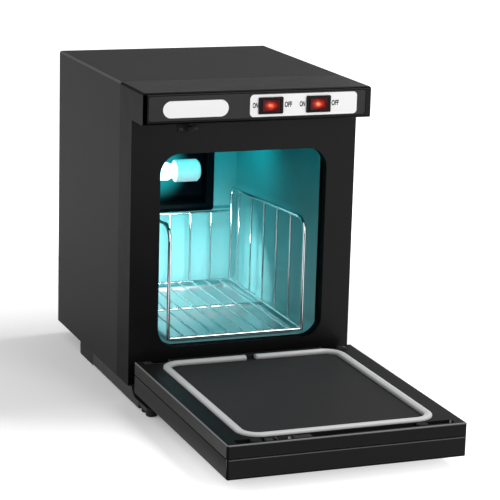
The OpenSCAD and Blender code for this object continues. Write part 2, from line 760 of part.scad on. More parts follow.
// Round rubber feet plugged into the foot arms
module front_feet() color("#0c0c0d") cab()
    for (x = [-1, 1], y = [-44, -59]) translate([x * (base_w / 2 - foot_r - 0.5), y, 0]) {
        rotate_extrude() {
            square([foot_r - 1.5, foot_h - 0.1]);
            translate([0, 1.5]) square([foot_r, foot_h - 1.6]);
            translate([foot_r - 1.5, 1.5]) circle(1.5);
        }
        translate([0, 0, foot_h - 0.2]) cylinder(h = 2.3, r = 2);
    }

// Moulded rubber blocks under the casing's rear half
module rear_feet() color("#101011") cab() both_sides() difference() {
    translate([-base_w / 2, base_back + seat_gap, 0]) intersection() {
        cube([20, 53, casing_z - 0.1]);
        rotate([90, 0, 90]) linear_extrude(20) round_rect(0, 0, 53, casing_z + 6, 3);
    }
    for (y = [152, 179]) translate([-base_w / 2 + 10, y, -1]) {
        cylinder(h = 8, r = 4.5);
        cylinder(h = 30, r = 2.1);
    }
}

// Screws up through the base and feet into the bottom plate
module base_screws() color("#b8b8bc") cab() {
    for (s = base_screw_at) translate([s[0], s[1], casing_z - wall_t]) rotate([180, 0, 0])
        pan_screw(1.8, 7, 3.6, 2.4);
    for (s = foot_screw_at) translate([s[0], s[1], 7]) rotate([180, 0, 0]) pan_screw(1.8, 14, 3.6, 2.4);
}

// ---- hinge and catch on the cabinet ----

bracket_screw_dz = -5.3;
bracket_screw_at = [for (x = [-1, 1], dx = [-4.5, 4.5]) [x * hinge_x + dx, hinge_z + bracket_screw_dz]];
bracket_t = 1.5;

// Folded arm with a rolled knuckle at the hinge line and a flange on the front face
module hinge_brackets() color("#b4b7ba") cab() for (s = [-1, 1]) translate([s * hinge_x, 0, hinge_z])
    difference() {
    union() {
        translate([-arm_hw, hinge_y, -arm_t / 2]) cube([2 * arm_hw, -hinge_y - 0.1, arm_t]);
        translate([-arm_hw, hinge_y, 0]) rotate([0, 90, 0]) cylinder(h = 2 * arm_hw, r = knuckle_r);
        run_back(-bracket_t - 0.1, -0.1) mid_rect(2 * arm_hw, ledge_z + seat_gap - hinge_z,
            hinge_z + 2.8 - ledge_z - seat_gap, 1.5);
    }
    translate([-arm_hw - 1, hinge_y, 0]) rotate([0, 90, 0])
        cylinder(h = 2 * arm_hw + 2, r = pin_r + pin_gap);
    for (dx = [-4.5, 4.5]) translate([dx, -5, bracket_screw_dz]) rotate([-90, 0, 0])
        cylinder(h = 10, r = 1.6);
}

tongue_screw_dz = [-8, 8];
catch_z = hinge_z + trough_y;
tongue_l = 9;

module bracket_screws() color("#b8b8bc") cab() {
    for (s = bracket_screw_at) translate([s[0], -bracket_t - 0.15, s[1]]) rotate([90, 0, 0])
        pan_screw(1.4, 8, 2.6, 1.3);
    for (z = tongue_screw_dz) translate([catch_x + z, -1.35, catch_z]) rotate([90, 0, 0])
        pan_screw(1.25, 7, 2.2, 1.2);
}

// Spear-headed tongue on a foot plate
module catch_tongue() color("#161618") cab() translate([catch_x, 0, catch_z]) {
    difference() {
        run_back(-1.3, -0.1) square([24, 7], center = true);
        for (z = tongue_screw_dz) translate([z, -5, 0]) rotate([-90, 0, 0]) cylinder(h = 10, r = 1.4);
    }
    translate([0, 0, -3]) linear_extrude(6)
        polygon([[-1.4, -1], [1.4, -1], [1.4, -7], [3, -9], [0, -door_gap - tongue_l], [-3, -9],
            [-1.4, -7]]);
}

// ---- door ----

// Side outline of the door between two heights, its lower hinge corner well rounded
module door_side(z0, z1, r_hinge, r_free) {
    y0 = -hinge_tail;
    difference() {
        translate([y0, z0]) square([door_len, z1 - z0]);
        if (r_hinge > 0) difference() {
            translate([y0 - 1, z0 - 1]) square(r_hinge + 1);
            translate([y0 + r_hinge, z0 + r_hinge]) circle(r_hinge);
        }
        if (r_free > 0) difference() {
            translate([free_y - r_free, z0 - 1]) square(r_free + 1);
            translate([free_y - r_free, z0 + r_free]) circle(r_free);
        }
    }
}

// Notch that lets a hinge arm swing from level to upright
module hinge_notch(grow) for (s = [-1, 1]) translate([s * hinge_x, 0, 0]) {
    hw = leaf_hw + seat_gap + grow;
    translate([-hw, -hinge_tail - 1, -knuckle_r - 1.2 - grow])
        cube([2 * hw, hinge_tail + 1, knuckle_r + 1.2 + grow + 40]);
    translate([-hw, -0.1, 0]) cube([2 * hw, web_y + leaf_t + seat_gap + 0.1 + grow, 40]);
    rotate([0, 90, 0]) cylinder(h = 2 * hw, r = knuckle_r + 1.2 + grow, center = true);
}

shell_top = seam_z - 0.3;
bottom_r = 8;
skin_r = 3;

// Outer cover of the door, hollow towards the inner frame
module door_shell() color("#303032") on_door() difference() {
    intersection() {
        run_across(-door_w / 2, door_w / 2) door_side(door_out_z, shell_top, bottom_r, skin_r);
        translate([0, free_y, 0]) rotate([90, 0, 0]) linear_extrude(door_len)
            mid_rect(door_w, door_out_z, door_t + 8, skin_r);
        translate([0, 0, door_out_z - 1]) linear_extrude(door_t)
            round_rect(-door_w / 2, -hinge_tail, door_w, door_len, skin_r);
    }
    difference() {
        translate([0, 0, door_out_z + wall_t]) linear_extrude(door_t)
            round_rect(-door_w / 2 + wall_t, -hinge_tail + 2 * wall_t, door_w - 2 * wall_t,
                door_len - 3 * wall_t, 2);
        hinge_notch(wall_t);
    }
    hinge_notch(0);
}

// Inner frame: rim, field, seat for the liner, trough along the free edge
module door_inner_frame() color("#1b1b1d") on_door() difference() {
    intersection() {
        run_across(-door_w / 2, door_w / 2) difference() {
            translate([-hinge_tail, seam_z]) square([door_len, door_inner_t]);
            difference() {
                translate([free_y - 2, hinge_rise - 2]) square(3);
                translate([free_y - 2, hinge_rise - 2]) circle(2);
            }
        }
        translate([0, free_y, 0]) rotate([90, 0, 0]) linear_extrude(door_len)
            mid_rect(door_w, seam_z - 10, door_inner_t + 10, 2);
        translate([0, 0, seam_z - 1]) linear_extrude(door_t)
            round_rect(-door_w / 2, -hinge_tail, door_w, door_len, skin_r);
    }
    // recess that the gasket lies in
    translate([0, 0, field_z]) linear_extrude(5) gasket_plan(seat_gap);
    // pockets for the hinge tabs
    for (s = [-1, 1]) translate([s * (hinge_x + leaf_hw + tab_l / 2), 0, field_z])
        linear_extrude(5) round_rect(-tab_l / 2 - 2, -hinge_tail - 5, tab_l + 2 + seat_gap * 2,
            hinge_tail + 5 + web_y + leaf_t + seat_gap, 0.6);
    // seat for the liner
    translate([0, 0, field_z - 1.4]) linear_extrude(5) liner_plan(seat_gap);
    // trough for the catch, shallow beyond the step, and a well for each bumper
    translate([0, 0, hinge_rise - trough_d]) linear_extrude(20)
        round_rect(-trough_w / 2, trough_y - 5.2, trough_step + trough_w / 2, 10.4, 2);
    translate([0, 0, hinge_rise - shallow_d]) linear_extrude(20)
        round_rect(-trough_w / 2, trough_y - 5.2, trough_w, 10.4, 2);
    for (x = bumper_x) translate([x, trough_y, hinge_rise - trough_d])
        cylinder(h = 20, r = bumper_r + seat_gap);
    // hollow from behind
    translate([0, 0, seam_z - 1]) linear_extrude(door_inner_t - 5)
        round_rect(-door_w / 2 + wall_t, 14, door_w - 2 * wall_t, trough_y - 5.2 - 14 - wall_t, 2);
    hinge_notch(0);
    for (s = [-1, 1]) translate([s * (hinge_x + leaf_hw + tab_l / 2), leaf_screw_y, field_z - 7])
        cylinder(h = 20, r = 1.42);
}

// Outline of the gasket's outer edge
module gasket_plan(grow) round_rect(-gasket_x - grow, gasket_y0 - grow, 2 * (gasket_x + grow),
    gasket_y1 - gasket_y0 + 2 * grow, gasket_r + grow);

module liner_plan(grow) {
    inset = gasket_w + 1;
    round_rect(-gasket_x + inset - grow, gasket_y0 + inset - grow, 2 * (gasket_x - inset + grow),
        gasket_y1 - gasket_y0 - 2 * (inset - grow), gasket_r - inset + grow);
}

// Flat panel inside the gasket
module door_liner() color("#3a3a3c") on_door() translate([0, 0, field_z - 1.3]) linear_extrude(1.4)
    liner_plan(0);

// Foam slab in the outer cover
module door_insulation() color("#e6e0c8") on_door() translate([0, 0, door_out_z + wall_t + 0.3])
    linear_extrude(15)
    round_rect(-door_w / 2 + wall_t + 2, 12, door_w - 2 * wall_t - 4, free_y - 12 - wall_t - 2, 4);

gasket_end = 6;
gasket_h = hinge_rise + gasket_rise - field_z - 0.1;
gasket_shoulder = 2.4;

// Section of the gasket about its middle: a crowned band with a groove towards the inside
module gasket_section() {
    sag = gasket_h - gasket_shoulder;
    crown_r = (gasket_w * gasket_w / 4 + sag * sag) / (2 * sag);
    difference() {
        intersection() {
            translate([-gasket_w / 2, 0]) square([gasket_w, gasket_h + 1]);
            translate([0, gasket_h - crown_r]) circle(crown_r);
        }
        translate([-gasket_w * 0.2, gasket_h]) circle(0.45);
    }
}

// Straight length of the gasket from a point, its outer side turned to an angle
module gasket_run(p, a, l) translate([p[0], p[1], field_z + 0.1]) rotate([0, 0, a]) rotate([90, 0, 0])
    linear_extrude(l) gasket_section();

// Gasket loop with round corners, its two ends apart at the middle of the hinge side
module door_gasket() color("#b5b5b3") on_door() {
    cx = gasket_x - gasket_r;
    mid = gasket_w / 2;
    side_l = gasket_y1 - gasket_y0 - 2 * gasket_r;
    gasket_run([gasket_x - mid, gasket_y1 - gasket_r], 0, side_l);
    gasket_run([-cx, gasket_y1 - mid], 90, 2 * cx);
    gasket_run([-gasket_x + mid, gasket_y0 + gasket_r], 180, side_l);
    gasket_run([cx, gasket_y0 + mid], 270, cx - gasket_end);
    gasket_run([-gasket_end, gasket_y0 + mid], 270, cx - gasket_end);
    for (c = [[cx, gasket_y1 - gasket_r, 0], [-cx, gasket_y1 - gasket_r, 90],
        [-cx, gasket_y0 + gasket_r, 180], [cx, gasket_y0 + gasket_r, 270]])
        translate([c[0], c[1], field_z + 0.1]) rotate([0, 0, c[2]])
            rotate_extrude(angle = 90) translate([gasket_r - mid, 0]) gasket_section();
}

bumper_x = [-97, 84];
bumper_r = 6.1;

// Round rubber buffers beside the catch: a stem, and a cap that stands just over the rim
module door_bumpers() color("#0d0d0e") on_door()
    for (x = bumper_x) translate([x, trough_y, hinge_rise - trough_d + 0.1]) rotate_extrude() {
        square([bumper_r - 1.8, trough_d + 0.5]);
        translate([0, trough_d - 3.6]) square([bumper_r, 3.4]);
        translate([0, trough_d - 2]) square([bumper_r - 0.7, 2.3]);
        translate([bumper_r - 0.7, trough_d - 0.4]) circle(0.7);
    }

// Folded steel saddle in each notch: two bored cheeks, a web between them and a tab on the field
module hinge_leaves() color("#b4b7ba") on_door() for (s = [-1, 1]) scale([s, 1, 1])
    translate([hinge_x, 0, 0]) difference() {
    union() {
        for (c = [-1, 1]) translate([c * (leaf_hw - leaf_t / 2) - leaf_t / 2, 0, 0])
            run_across(0, leaf_t) union() {
            circle(knuckle_r + 0.7);
            translate([-hinge_tail + 0.6, 0]) square([hinge_tail - 0.6 + web_y + leaf_t, hinge_rise - 0.2]);
        }
        translate([-leaf_hw, web_y, knuckle_r + 2])
            cube([2 * leaf_hw, leaf_t, hinge_rise - 0.2 - knuckle_r - 2]);
        translate([leaf_hw - leaf_t, -hinge_tail + 0.6, field_z + 0.1])
            cube([leaf_t + tab_l, hinge_tail - 0.6 + web_y, 1.2]);
    }
    rotate([0, 90, 0]) cylinder(h = 60, r = pin_r + press_gap, center = true);
    translate([leaf_hw + tab_l / 2, leaf_screw_y, 0]) cylinder(h = 40, r = 1.6);
}

module hinge_pins() color("#cfd2d4") on_door() for (s = [-1, 1]) translate([s * hinge_x, 0, 0])
    rotate([0, 90, 0]) cylinder(h = 2 * leaf_hw - 0.1, r = pin_r, center = true);

// Screw that clamps each leaf's tab to the frame
module leaf_screws() color("#b8b8bc") on_door() for (s = [-1, 1])
    translate([s * (hinge_x + leaf_hw + tab_l / 2), leaf_screw_y, field_z + 1.35])
        pan_screw(1.4, 7, 2.8, 1.2);

// Block in the trough with two wells for the springs and a slot for the tongue
module catch_block() color("#121213") on_door() translate([0, trough_y, 0]) difference() {
    translate([block_x - catch_w / 2, -4.6, hinge_rise - 9.9]) cube([catch_w, 9.2, 9.4]);
    translate([catch_x - 11, -3.4, hinge_rise - 9.2]) cube([22, 6.8, 20]);
}

// Two strip springs, waisted towards the tongue
module catch_springs() color("#d8dadb") on_door() for (s = [-1, 1])
    translate([catch_x, trough_y - 3.1, hinge_rise - 9.1]) rotate([90, 0, 0]) rotate([0, 180, 0])
    linear_extrude(6.2) spring_strip(s);

module spring_strip(s) {
    pts = [[6.2, 0], [6.8, 2], [5, 4.2], [4, 5.6], [5, 7], [7, 8.6], [7, 9]];
    t = 0.7;
    polygon(concat([for (p = pts) [s * p[0], p[1]]],
        [for (i = [len(pts) - 1:-1:0]) [s * (pts[i][0] + t), pts[i][1]]]));
}

casing();
rear_panel();
rear_screws();
bottom_plate();
front_frame();
control_fascia();
name_plate();
switch_plate();
heat_switch_housing();
uv_switch_housing();
pilot_lamps();
switch_tabs();
cavity_liner();
heater_plate();
heater_pad();
thermostat();
thermal_fuse();
liner_insulation();
floor_insulation();
lamp_recess();
lamp_holder();
uv_lamp();
lamp_ballast();
terminal_block();
cord_gland();
basket_sides();
basket_floor();
basket_rear();
drip_tray();
base_frame();
front_feet();
rear_feet();
hinge_brackets();
bracket_screws();
catch_tongue();
base_screws();
door_shell();
door_inner_frame();
door_liner();
door_insulation();
door_gasket();
door_bumpers();
hinge_leaves();
hinge_pins();
leaf_screws();
catch_block();
catch_springs();
heat_rocker();
uv_rocker();
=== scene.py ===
import json
import math

import bmesh
import bpy
import numpy as np
from mathutils import Matrix, Vector


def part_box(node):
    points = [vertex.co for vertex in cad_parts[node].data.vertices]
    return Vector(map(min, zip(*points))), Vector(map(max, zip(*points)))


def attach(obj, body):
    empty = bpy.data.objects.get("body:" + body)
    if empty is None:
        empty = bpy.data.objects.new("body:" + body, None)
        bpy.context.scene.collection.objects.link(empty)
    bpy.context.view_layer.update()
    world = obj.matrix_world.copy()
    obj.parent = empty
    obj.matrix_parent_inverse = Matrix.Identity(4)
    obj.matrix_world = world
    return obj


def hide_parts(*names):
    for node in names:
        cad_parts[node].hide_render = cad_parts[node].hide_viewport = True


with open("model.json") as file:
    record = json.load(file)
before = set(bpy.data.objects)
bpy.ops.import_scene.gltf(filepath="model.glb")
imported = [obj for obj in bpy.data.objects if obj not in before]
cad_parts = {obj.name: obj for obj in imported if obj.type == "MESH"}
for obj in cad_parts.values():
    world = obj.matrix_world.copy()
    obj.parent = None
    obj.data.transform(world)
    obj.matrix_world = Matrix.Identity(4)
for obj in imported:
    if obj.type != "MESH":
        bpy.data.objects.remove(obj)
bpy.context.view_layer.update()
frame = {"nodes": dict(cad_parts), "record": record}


# ---------------------------------------------------------------------------------------------
# Studio: a white room, a pale floor that keeps the cabinet's shadow, three soft lamps and the
# camera. None of it belongs to the cabinet.

hinge = next(j for j in frame["record"]["behaviour"]["joints"] if j["name"] == "door_hinge")
front_face_y = hinge["pos_m"][1] + 0.0242      # front face of the cabinet, from the hinge line

camera_az, camera_el, camera_roll = (math.radians(a) for a in (-21.32, 13.547, 1.634))
camera_place = Vector((-0.8096, -2.0969 + front_face_y, 0.7065))

back = Vector((math.sin(camera_az) * math.cos(camera_el),
               -math.cos(camera_az) * math.cos(camera_el), math.sin(camera_el)))
level_right = Vector((0, 0, 1)).cross(back).normalized()
level_up = back.cross(level_right)
cam_right = math.cos(camera_roll) * level_right + math.sin(camera_roll) * level_up
cam_up = -math.sin(camera_roll) * level_right + math.cos(camera_roll) * level_up

camera = bpy.data.objects.new("camera", bpy.data.cameras.new("camera"))
camera.data.lens = 148.65
camera.data.sensor_width = 36
camera.data.clip_end = 50
turn = Matrix((cam_right, cam_up, back)).transposed().to_4x4()
camera.matrix_world = Matrix.Translation(camera_place) @ turn
bpy.context.scene.collection.objects.link(camera)
bpy.context.scene.camera = camera
bpy.context.scene.view_settings.view_transform = "Standard"


def seen_directly(tree):
    """Value that is 1 for camera, mirror and clear-glass rays, and 0 for the light that falls on things."""
    path = tree.nodes.new("ShaderNodeLightPath")
    first = tree.nodes.new("ShaderNodeMath")
    first.operation = "MAXIMUM"
    tree.links.new(path.outputs["Is Camera Ray"], first.inputs[0])
    tree.links.new(path.outputs["Is Glossy Ray"], first.inputs[1])
    both = tree.nodes.new("ShaderNodeMath")
    both.operation = "MAXIMUM"
    tree.links.new(first.outputs[0], both.inputs[0])
    tree.links.new(path.outputs["Is Transmission Ray"], both.inputs[1])
    return both.outputs[0]


world = bpy.data.worlds.new("white_room")
bpy.context.scene.world = world
world.use_nodes = True
room = world.node_tree
room_light = room.nodes["Background"]
room_light.inputs["Color"].default_value = (1, 1, 1, 1)
room_light.inputs["Strength"].default_value = 0.55
room_seen = room.nodes.new("ShaderNodeBackground")
room_seen.inputs["Color"].default_value = (1, 1, 1, 1)
room_mix = room.nodes.new("ShaderNodeMixShader")
room.links.new(seen_directly(room), room_mix.inputs[0])
room.links.new(room_light.outputs[0], room_mix.inputs[1])
room.links.new(room_seen.outputs[0], room_mix.inputs[2])
room.links.new(room_mix.outputs[0], room.nodes["World Output"].inputs[0])

floor_material = bpy.data.materials.new("white_floor")
floor_material.use_nodes = True
floor_tree = floor_material.node_tree
floor_paint = floor_tree.nodes["Principled BSDF"]
floor_paint.inputs["Base Color"].default_value = (0.8, 0.8, 0.8, 1)
floor_paint.inputs["Roughness"].default_value = 0.9
floor_paint.inputs["Specular IOR Level"].default_value = 0.0
# Painted light: the floor's directly seen glow is weak near the cabinet and strong away from it. This evens out the
# lamps' fall-off and lightens the shadow in front of the door.
floor_glow = floor_tree.nodes.new("ShaderNodeEmission")
floor_lift = floor_tree.nodes.new("ShaderNodeMath")
floor_lift.operation = "MULTIPLY"
floor_place = floor_tree.nodes.new("ShaderNodeTexCoord")
floor_far = floor_tree.nodes.new("ShaderNodeVectorMath")
floor_far.operation = "DISTANCE"
floor_far.inputs[1].default_value = (-0.10, 0.28, 0.0)
floor_level = floor_tree.nodes.new("ShaderNodeMapRange")
for socket, value in zip(("From Min", "From Max", "To Min", "To Max"), (0.33, 0.66, 0.16, 0.80)):
    floor_level.inputs[socket].default_value = value
floor_tree.links.new(floor_place.outputs["Object"], floor_far.inputs[0])
floor_tree.links.new(floor_far.outputs["Value"], floor_level.inputs["Value"])
floor_tree.links.new(floor_level.outputs["Result"], floor_lift.inputs[1])
floor_tree.links.new(seen_directly(floor_tree), floor_lift.inputs[0])
floor_tree.links.new(floor_lift.outputs[0], floor_glow.inputs["Strength"])
floor_sum = floor_tree.nodes.new("ShaderNodeAddShader")
floor_tree.links.new(floor_paint.outputs[0], floor_sum.inputs[0])
floor_tree.links.new(floor_glow.outputs[0], floor_sum.inputs[1])
floor_tree.links.new(floor_sum.outputs[0], floor_tree.nodes["Material Output"].inputs[0])

floor_mesh = bpy.data.meshes.new("floor")
floor_mesh.from_pydata([(-6, -6, 0), (6, -6, 0), (6, 6, 0), (-6, 6, 0)], [], [(0, 1, 2, 3)])
floor_mesh.materials.append(floor_material)
floor = bpy.data.objects.new("floor", floor_mesh)
bpy.context.scene.collection.objects.link(floor)


def dark_card(name, tone, corners):
    """Matt dark card that only mirror rays meet, so that the satin surfaces show a dark field."""
    card_material = bpy.data.materials.new(name)
    card_material.use_nodes = True
    card_paint = card_material.node_tree.nodes["Principled BSDF"]
    card_paint.inputs["Base Color"].default_value = (tone, tone, tone, 1)
    card_paint.inputs["Roughness"].default_value = 1.0
    card_paint.inputs["Specular IOR Level"].default_value = 0.0
    card_mesh = bpy.data.meshes.new(name)
    card_mesh.from_pydata(corners, [], [(0, 1, 2, 3)])
    card_mesh.materials.append(card_material)
    card = bpy.data.objects.new(name, card_mesh)
    card.visible_camera = card.visible_diffuse = card.visible_transmission = card.visible_shadow = False
    bpy.context.scene.collection.objects.link(card)


dark_card("rear_card", 0.22, [(-1.0, 1.6, 0.42), (0.9, 1.6, 0.42), (0.9, 1.6, 1.7), (-1.0, 1.6, 1.7)])
dark_card("front_card", 0.01, [(-1.2, -1.9, 0.002), (0.24, -1.9, 0.002), (0.24, -0.46, 0.002), (-1.2, -0.46, 0.002)])


def softbox(name, place, aim, size, watts, colour=(1, 1, 1)):
    """Square area lamp at a place, facing a point."""
    lamp = bpy.data.lights.new(name, "AREA")
    lamp.shape = "SQUARE"
    lamp.size = size
    lamp.energy = watts
    lamp.color = colour
    holder = bpy.data.objects.new(name, lamp)
    towards = Vector(aim) - Vector(place)
    holder.matrix_world = Matrix.Translation(place) @ towards.to_track_quat("-Z", "Y").to_matrix().to_4x4()
    bpy.context.scene.collection.objects.link(holder)
    return holder


softbox("overhead", (0.9, 0.15, 1.8), (0.0, 0.0, 0.1), 0.8, 25)
softbox("left_side", (-1.7, 0.5, 1.1), (-0.1, 0.1, 0.25), 1.0, 9)
softbox("front_fill", (0.9, -2.2, 1.0), (0.0, -0.1, 0.1), 1.0, 19)


# ---------------------------------------------------------------------------------------------
# Casing: one sheet of steel folded over the top and down both sides, powder coated in satin
# black. The coat has the faint orange peel and slow drift of tone that such paint has.

def group_socket(group, name, kind, value=None, out=False):
    """Adds a named socket to a node group."""
    socket = group.interface.new_socket(name=name, in_out="OUTPUT" if out else "INPUT", socket_type=kind)
    if value is not None:
        socket.default_value = value
    return socket


def make_skin_group():
    """Grained surface: tone drifts with slow noise, gloss drifts with middling noise, fine noise is the height."""
    group = bpy.data.node_groups.new("grained_skin", "ShaderNodeTree")
    group_socket(group, "Tone", "NodeSocketColor", (0.03, 0.03, 0.03, 1))
    group_socket(group, "Drift", "NodeSocketFloat", 0.15)
    group_socket(group, "Gloss Loss", "NodeSocketFloat", 0.4)
    group_socket(group, "Gloss Drift", "NodeSocketFloat", 0.08)
    group_socket(group, "Grain Scale", "NodeSocketFloat", 900.0)
    group_socket(group, "Color", "NodeSocketColor", out=True)
    group_socket(group, "Roughness", "NodeSocketFloat", out=True)
    group_socket(group, "Height", "NodeSocketFloat", out=True)
    nodes, links = group.nodes, group.links
    given = nodes.new("NodeGroupInput")
    result = nodes.new("NodeGroupOutput")
    place = nodes.new("ShaderNodeTexCoord")
    slow = nodes.new("ShaderNodeTexNoise")
    slow.inputs["Scale"].default_value = 9.0
    slow.inputs["Detail"].default_value = 3.0
    middling = nodes.new("ShaderNodeTexNoise")
    middling.inputs["Scale"].default_value = 45.0
    middling.inputs["Detail"].default_value = 4.0
    fine = nodes.new("ShaderNodeTexNoise")
    fine.inputs["Detail"].default_value = 2.0
    for noise in (slow, middling, fine):
        links.new(place.outputs["Object"], noise.inputs["Vector"])
    links.new(given.outputs["Grain Scale"], fine.inputs["Scale"])
    centred = nodes.new("ShaderNodeMath")
    centred.operation = "SUBTRACT"
    centred.inputs[1].default_value = 0.5
    links.new(slow.outputs["Fac"], centred.inputs[0])
    gain = nodes.new("ShaderNodeMath")
    gain.operation = "MULTIPLY_ADD"
    gain.inputs[2].default_value = 1.0
    links.new(centred.outputs[0], gain.inputs[0])
    links.new(given.outputs["Drift"], gain.inputs[1])
    tone = nodes.new("ShaderNodeVectorMath")
    tone.operation = "SCALE"
    links.new(given.outputs["Tone"], tone.inputs[0])
    links.new(gain.outputs[0], tone.inputs["Scale"])
    links.new(tone.outputs[0], result.inputs["Color"])
    spread = nodes.new("ShaderNodeMath")
    spread.operation = "SUBTRACT"
    spread.inputs[1].default_value = 0.5
    links.new(middling.outputs["Fac"], spread.inputs[0])
    gloss = nodes.new("ShaderNodeMath")
    gloss.operation = "MULTIPLY_ADD"
    links.new(spread.outputs[0], gloss.inputs[0])
    links.new(given.outputs["Gloss Drift"], gloss.inputs[1])
    links.new(given.outputs["Gloss Loss"], gloss.inputs[2])
    links.new(gloss.outputs[0], result.inputs["Roughness"])
    links.new(fine.outputs["Fac"], result.inputs["Height"])
    return group


skin_group = make_skin_group()


def skinned(name, tone, roughness, grain=900.0, bump=0.00002, drift=0.15, gloss_drift=0.1,
            metallic=0.0, specular=0.5, coat=0.0):
    """Material whose colour, gloss and bump come from the grained skin group."""
    material = bpy.data.materials.new(name)
    material.use_nodes = True
    nodes, links = material.node_tree.nodes, material.node_tree.links
    paint = nodes["Principled BSDF"]
    paint.inputs["Metallic"].default_value = metallic
    paint.inputs["Specular IOR Level"].default_value = specular
    paint.inputs["Coat Weight"].default_value = coat
    skin = nodes.new("ShaderNodeGroup")
    skin.node_tree = skin_group
    skin.inputs["Tone"].default_value = (*tone, 1)
    skin.inputs["Drift"].default_value = drift
    skin.inputs["Gloss Loss"].default_value = roughness
    skin.inputs["Gloss Drift"].default_value = gloss_drift
    skin.inputs["Grain Scale"].default_value = grain
    links.new(skin.outputs["Color"], paint.inputs["Base Color"])
    links.new(skin.outputs["Roughness"], paint.inputs["Roughness"])
    relief = nodes.new("ShaderNodeBump")
    relief.inputs["Strength"].default_value = 1.0
    relief.inputs["Distance"].default_value = bump
    links.new(skin.outputs["Height"], relief.inputs["Height"])
    links.new(relief.outputs["Normal"], paint.inputs["Normal"])
    return material


node_body = {n: b for b, names in frame["record"]["behaviour"]["bodies"].items() for n in names}


def dressed(node, material):
    """Puts a material on a CAD piece as it is."""
    holder = frame["nodes"][node]
    holder.data.materials.clear()
    holder.data.materials.append(material)


edge_turn = math.cos(math.radians(16))
small_face = 1.5e-6


def softened(node, material, radius=0.0004, steps=2, sharp=32, edge=None, seam=None, flank=None, lip=None):
    """Copy of a CAD piece with triangles merged and edges rounded, in a second material if one is given.

    A seam is a height and a distance from the middle: edges at that height and beyond that distance, all on
    one side, stay crisp, so that the seam reads as a thin dark line. Faces that look sideways take the flank,
    a copy of the material with a painted tone and sheen of its own, and the walls of an opening, given as half
    width, low and high, take the material that follows them, a painted shade. The edge material is painted
    light: a highlight on some pieces and a shade on others. Where an edge material is given, edges beside very
    small faces stay crisp and the rest are rounded in full.
    """
    source = frame["nodes"][node]
    mesh = bpy.data.meshes.new(node + "_skin")
    shape = bmesh.new()
    shape.from_mesh(source.data)
    bmesh.ops.remove_doubles(shape, verts=shape.verts, dist=2e-6)
    bmesh.ops.dissolve_limit(shape, angle_limit=math.radians(0.6), verts=shape.verts, edges=shape.edges)
    for face in shape.faces:
        face.smooth = True
        if edge is not None and max(abs(n) for n in face.normal) < edge_turn:
            face.material_index = 1
        elif flank is not None and abs(face.normal.x) >= edge_turn:
            face.material_index = 2
        centre = face.calc_center_median()
        if lip is not None and abs(face.normal.y) < 0.3 and abs(centre.x) < lip[0] and lip[1] < centre.z < lip[2]:
            face.material_index = 3
    rounded = shape.edges.layers.float.new("bevel_weight_edge")
    for line in shape.edges:
        in_seam = seam is not None and line.verts[0].co.x * line.verts[1].co.x > 0.0 and all(
            abs(v.co.z - seam[0]) < 0.0002 and abs(v.co.x) >= seam[1] for v in line.verts)
        tight = edge is not None and min((f.calc_area() for f in line.link_faces), default=0.0) < small_face
        if line.is_manifold and line.calc_face_angle(0.0) > math.radians(sharp) and not in_seam and not tight:
            line[rounded] = 1.0
    shape.to_mesh(mesh)
    shape.free()
    mesh.materials.append(material)
    if edge is not None:
        mesh.materials.append(edge)
    if flank is not None:
        mesh.materials.append(flank)
    if lip is not None:
        mesh.materials.append(lip[3])
    piece = bpy.data.objects.new(node + "_skin", mesh)
    bpy.context.scene.collection.objects.link(piece)
    rounding = piece.modifiers.new("rounding", "BEVEL")
    rounding.width = radius
    rounding.segments = steps
    rounding.limit_method = "WEIGHT"
    rounding.use_clamp_overlap = True
    rounding.material = -1 if edge is None else 1
    flat = piece.modifiers.new("flat_faces", "WEIGHTED_NORMAL")
    flat.keep_sharp = False
    flat.weight = 100
    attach(piece, node_body[node])
    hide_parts(node)
    return piece


def lit_edge(name, tone, shade, roughness, specular):
    """Edge material with painted light: a light tone where it looks up, falling to a painted shade where it looks
    sideways or down.
    """
    material = skinned(name, tone, roughness, grain=1400, bump=0.000008, specular=specular)
    nodes, links = material.node_tree.nodes, material.node_tree.links
    paint = nodes["Principled BSDF"]
    facing = nodes.new("ShaderNodeNewGeometry")
    parts = nodes.new("ShaderNodeSeparateXYZ")
    rise = nodes.new("ShaderNodeMapRange")
    rise.inputs["From Min"].default_value = 0.15
    rise.inputs["From Max"].default_value = 0.75
    links.new(facing.outputs["Normal"], parts.inputs[0])
    links.new(parts.outputs["Z"], rise.inputs["Value"])
    blend = nodes.new("ShaderNodeMix")
    blend.data_type = "RGBA"
    blend.inputs["A"].default_value = (shade, shade, shade, 1)
    links.new(rise.outputs["Result"], blend.inputs["Factor"])
    links.new(next(n for n in nodes if n.type == "GROUP").outputs["Color"], blend.inputs["B"])
    links.new(blend.outputs["Result"], paint.inputs["Base Color"])
    return material


powder_coat = skinned("powder_coat", (0.027, 0.027, 0.0275), 0.5, grain=650, bump=0.00004, drift=0.06,
                      gloss_drift=0.05, specular=0.022)
# coat_edge is a painted highlight: the casing's rounded edges take a lighter, glossier tone than its flat faces.
coat_edge = skinned("coat_edge", (0.06, 0.06, 0.061), 0.38, grain=650, bump=0.00003, specular=0.25)
softened("casing", powder_coat, 0.0005, edge=coat_edge)


# ---------------------------------------------------------------------------------------------
# Rear panel and underside: louvred sheet-steel panel, its zinc screws, the cord's bush, and the
# plain plate that closes the bottom of the casing.

panel_coat = skinned("panel_coat", (0.035, 0.035, 0.036), 0.55, grain=650, bump=0.00004, specular=0.15)
softened("rear_panel", panel_coat, 0.0002, steps=1)

zinc = skinned("zinc_plate", (0.52, 0.53, 0.55), 0.32, grain=1400, bump=0.00001, metallic=1.0)
for screws in ("rear_screws", "base_screws"):
    softened(screws, zinc, 0.00015, steps=1)
blackened = skinned("blackened_steel", (0.020, 0.020, 0.021), 0.4, grain=1400, bump=0.00001, specular=0.3)
for screws in ("bracket_screws", "leaf_screws"):
    softened(screws, blackened, 0.00015, steps=1)

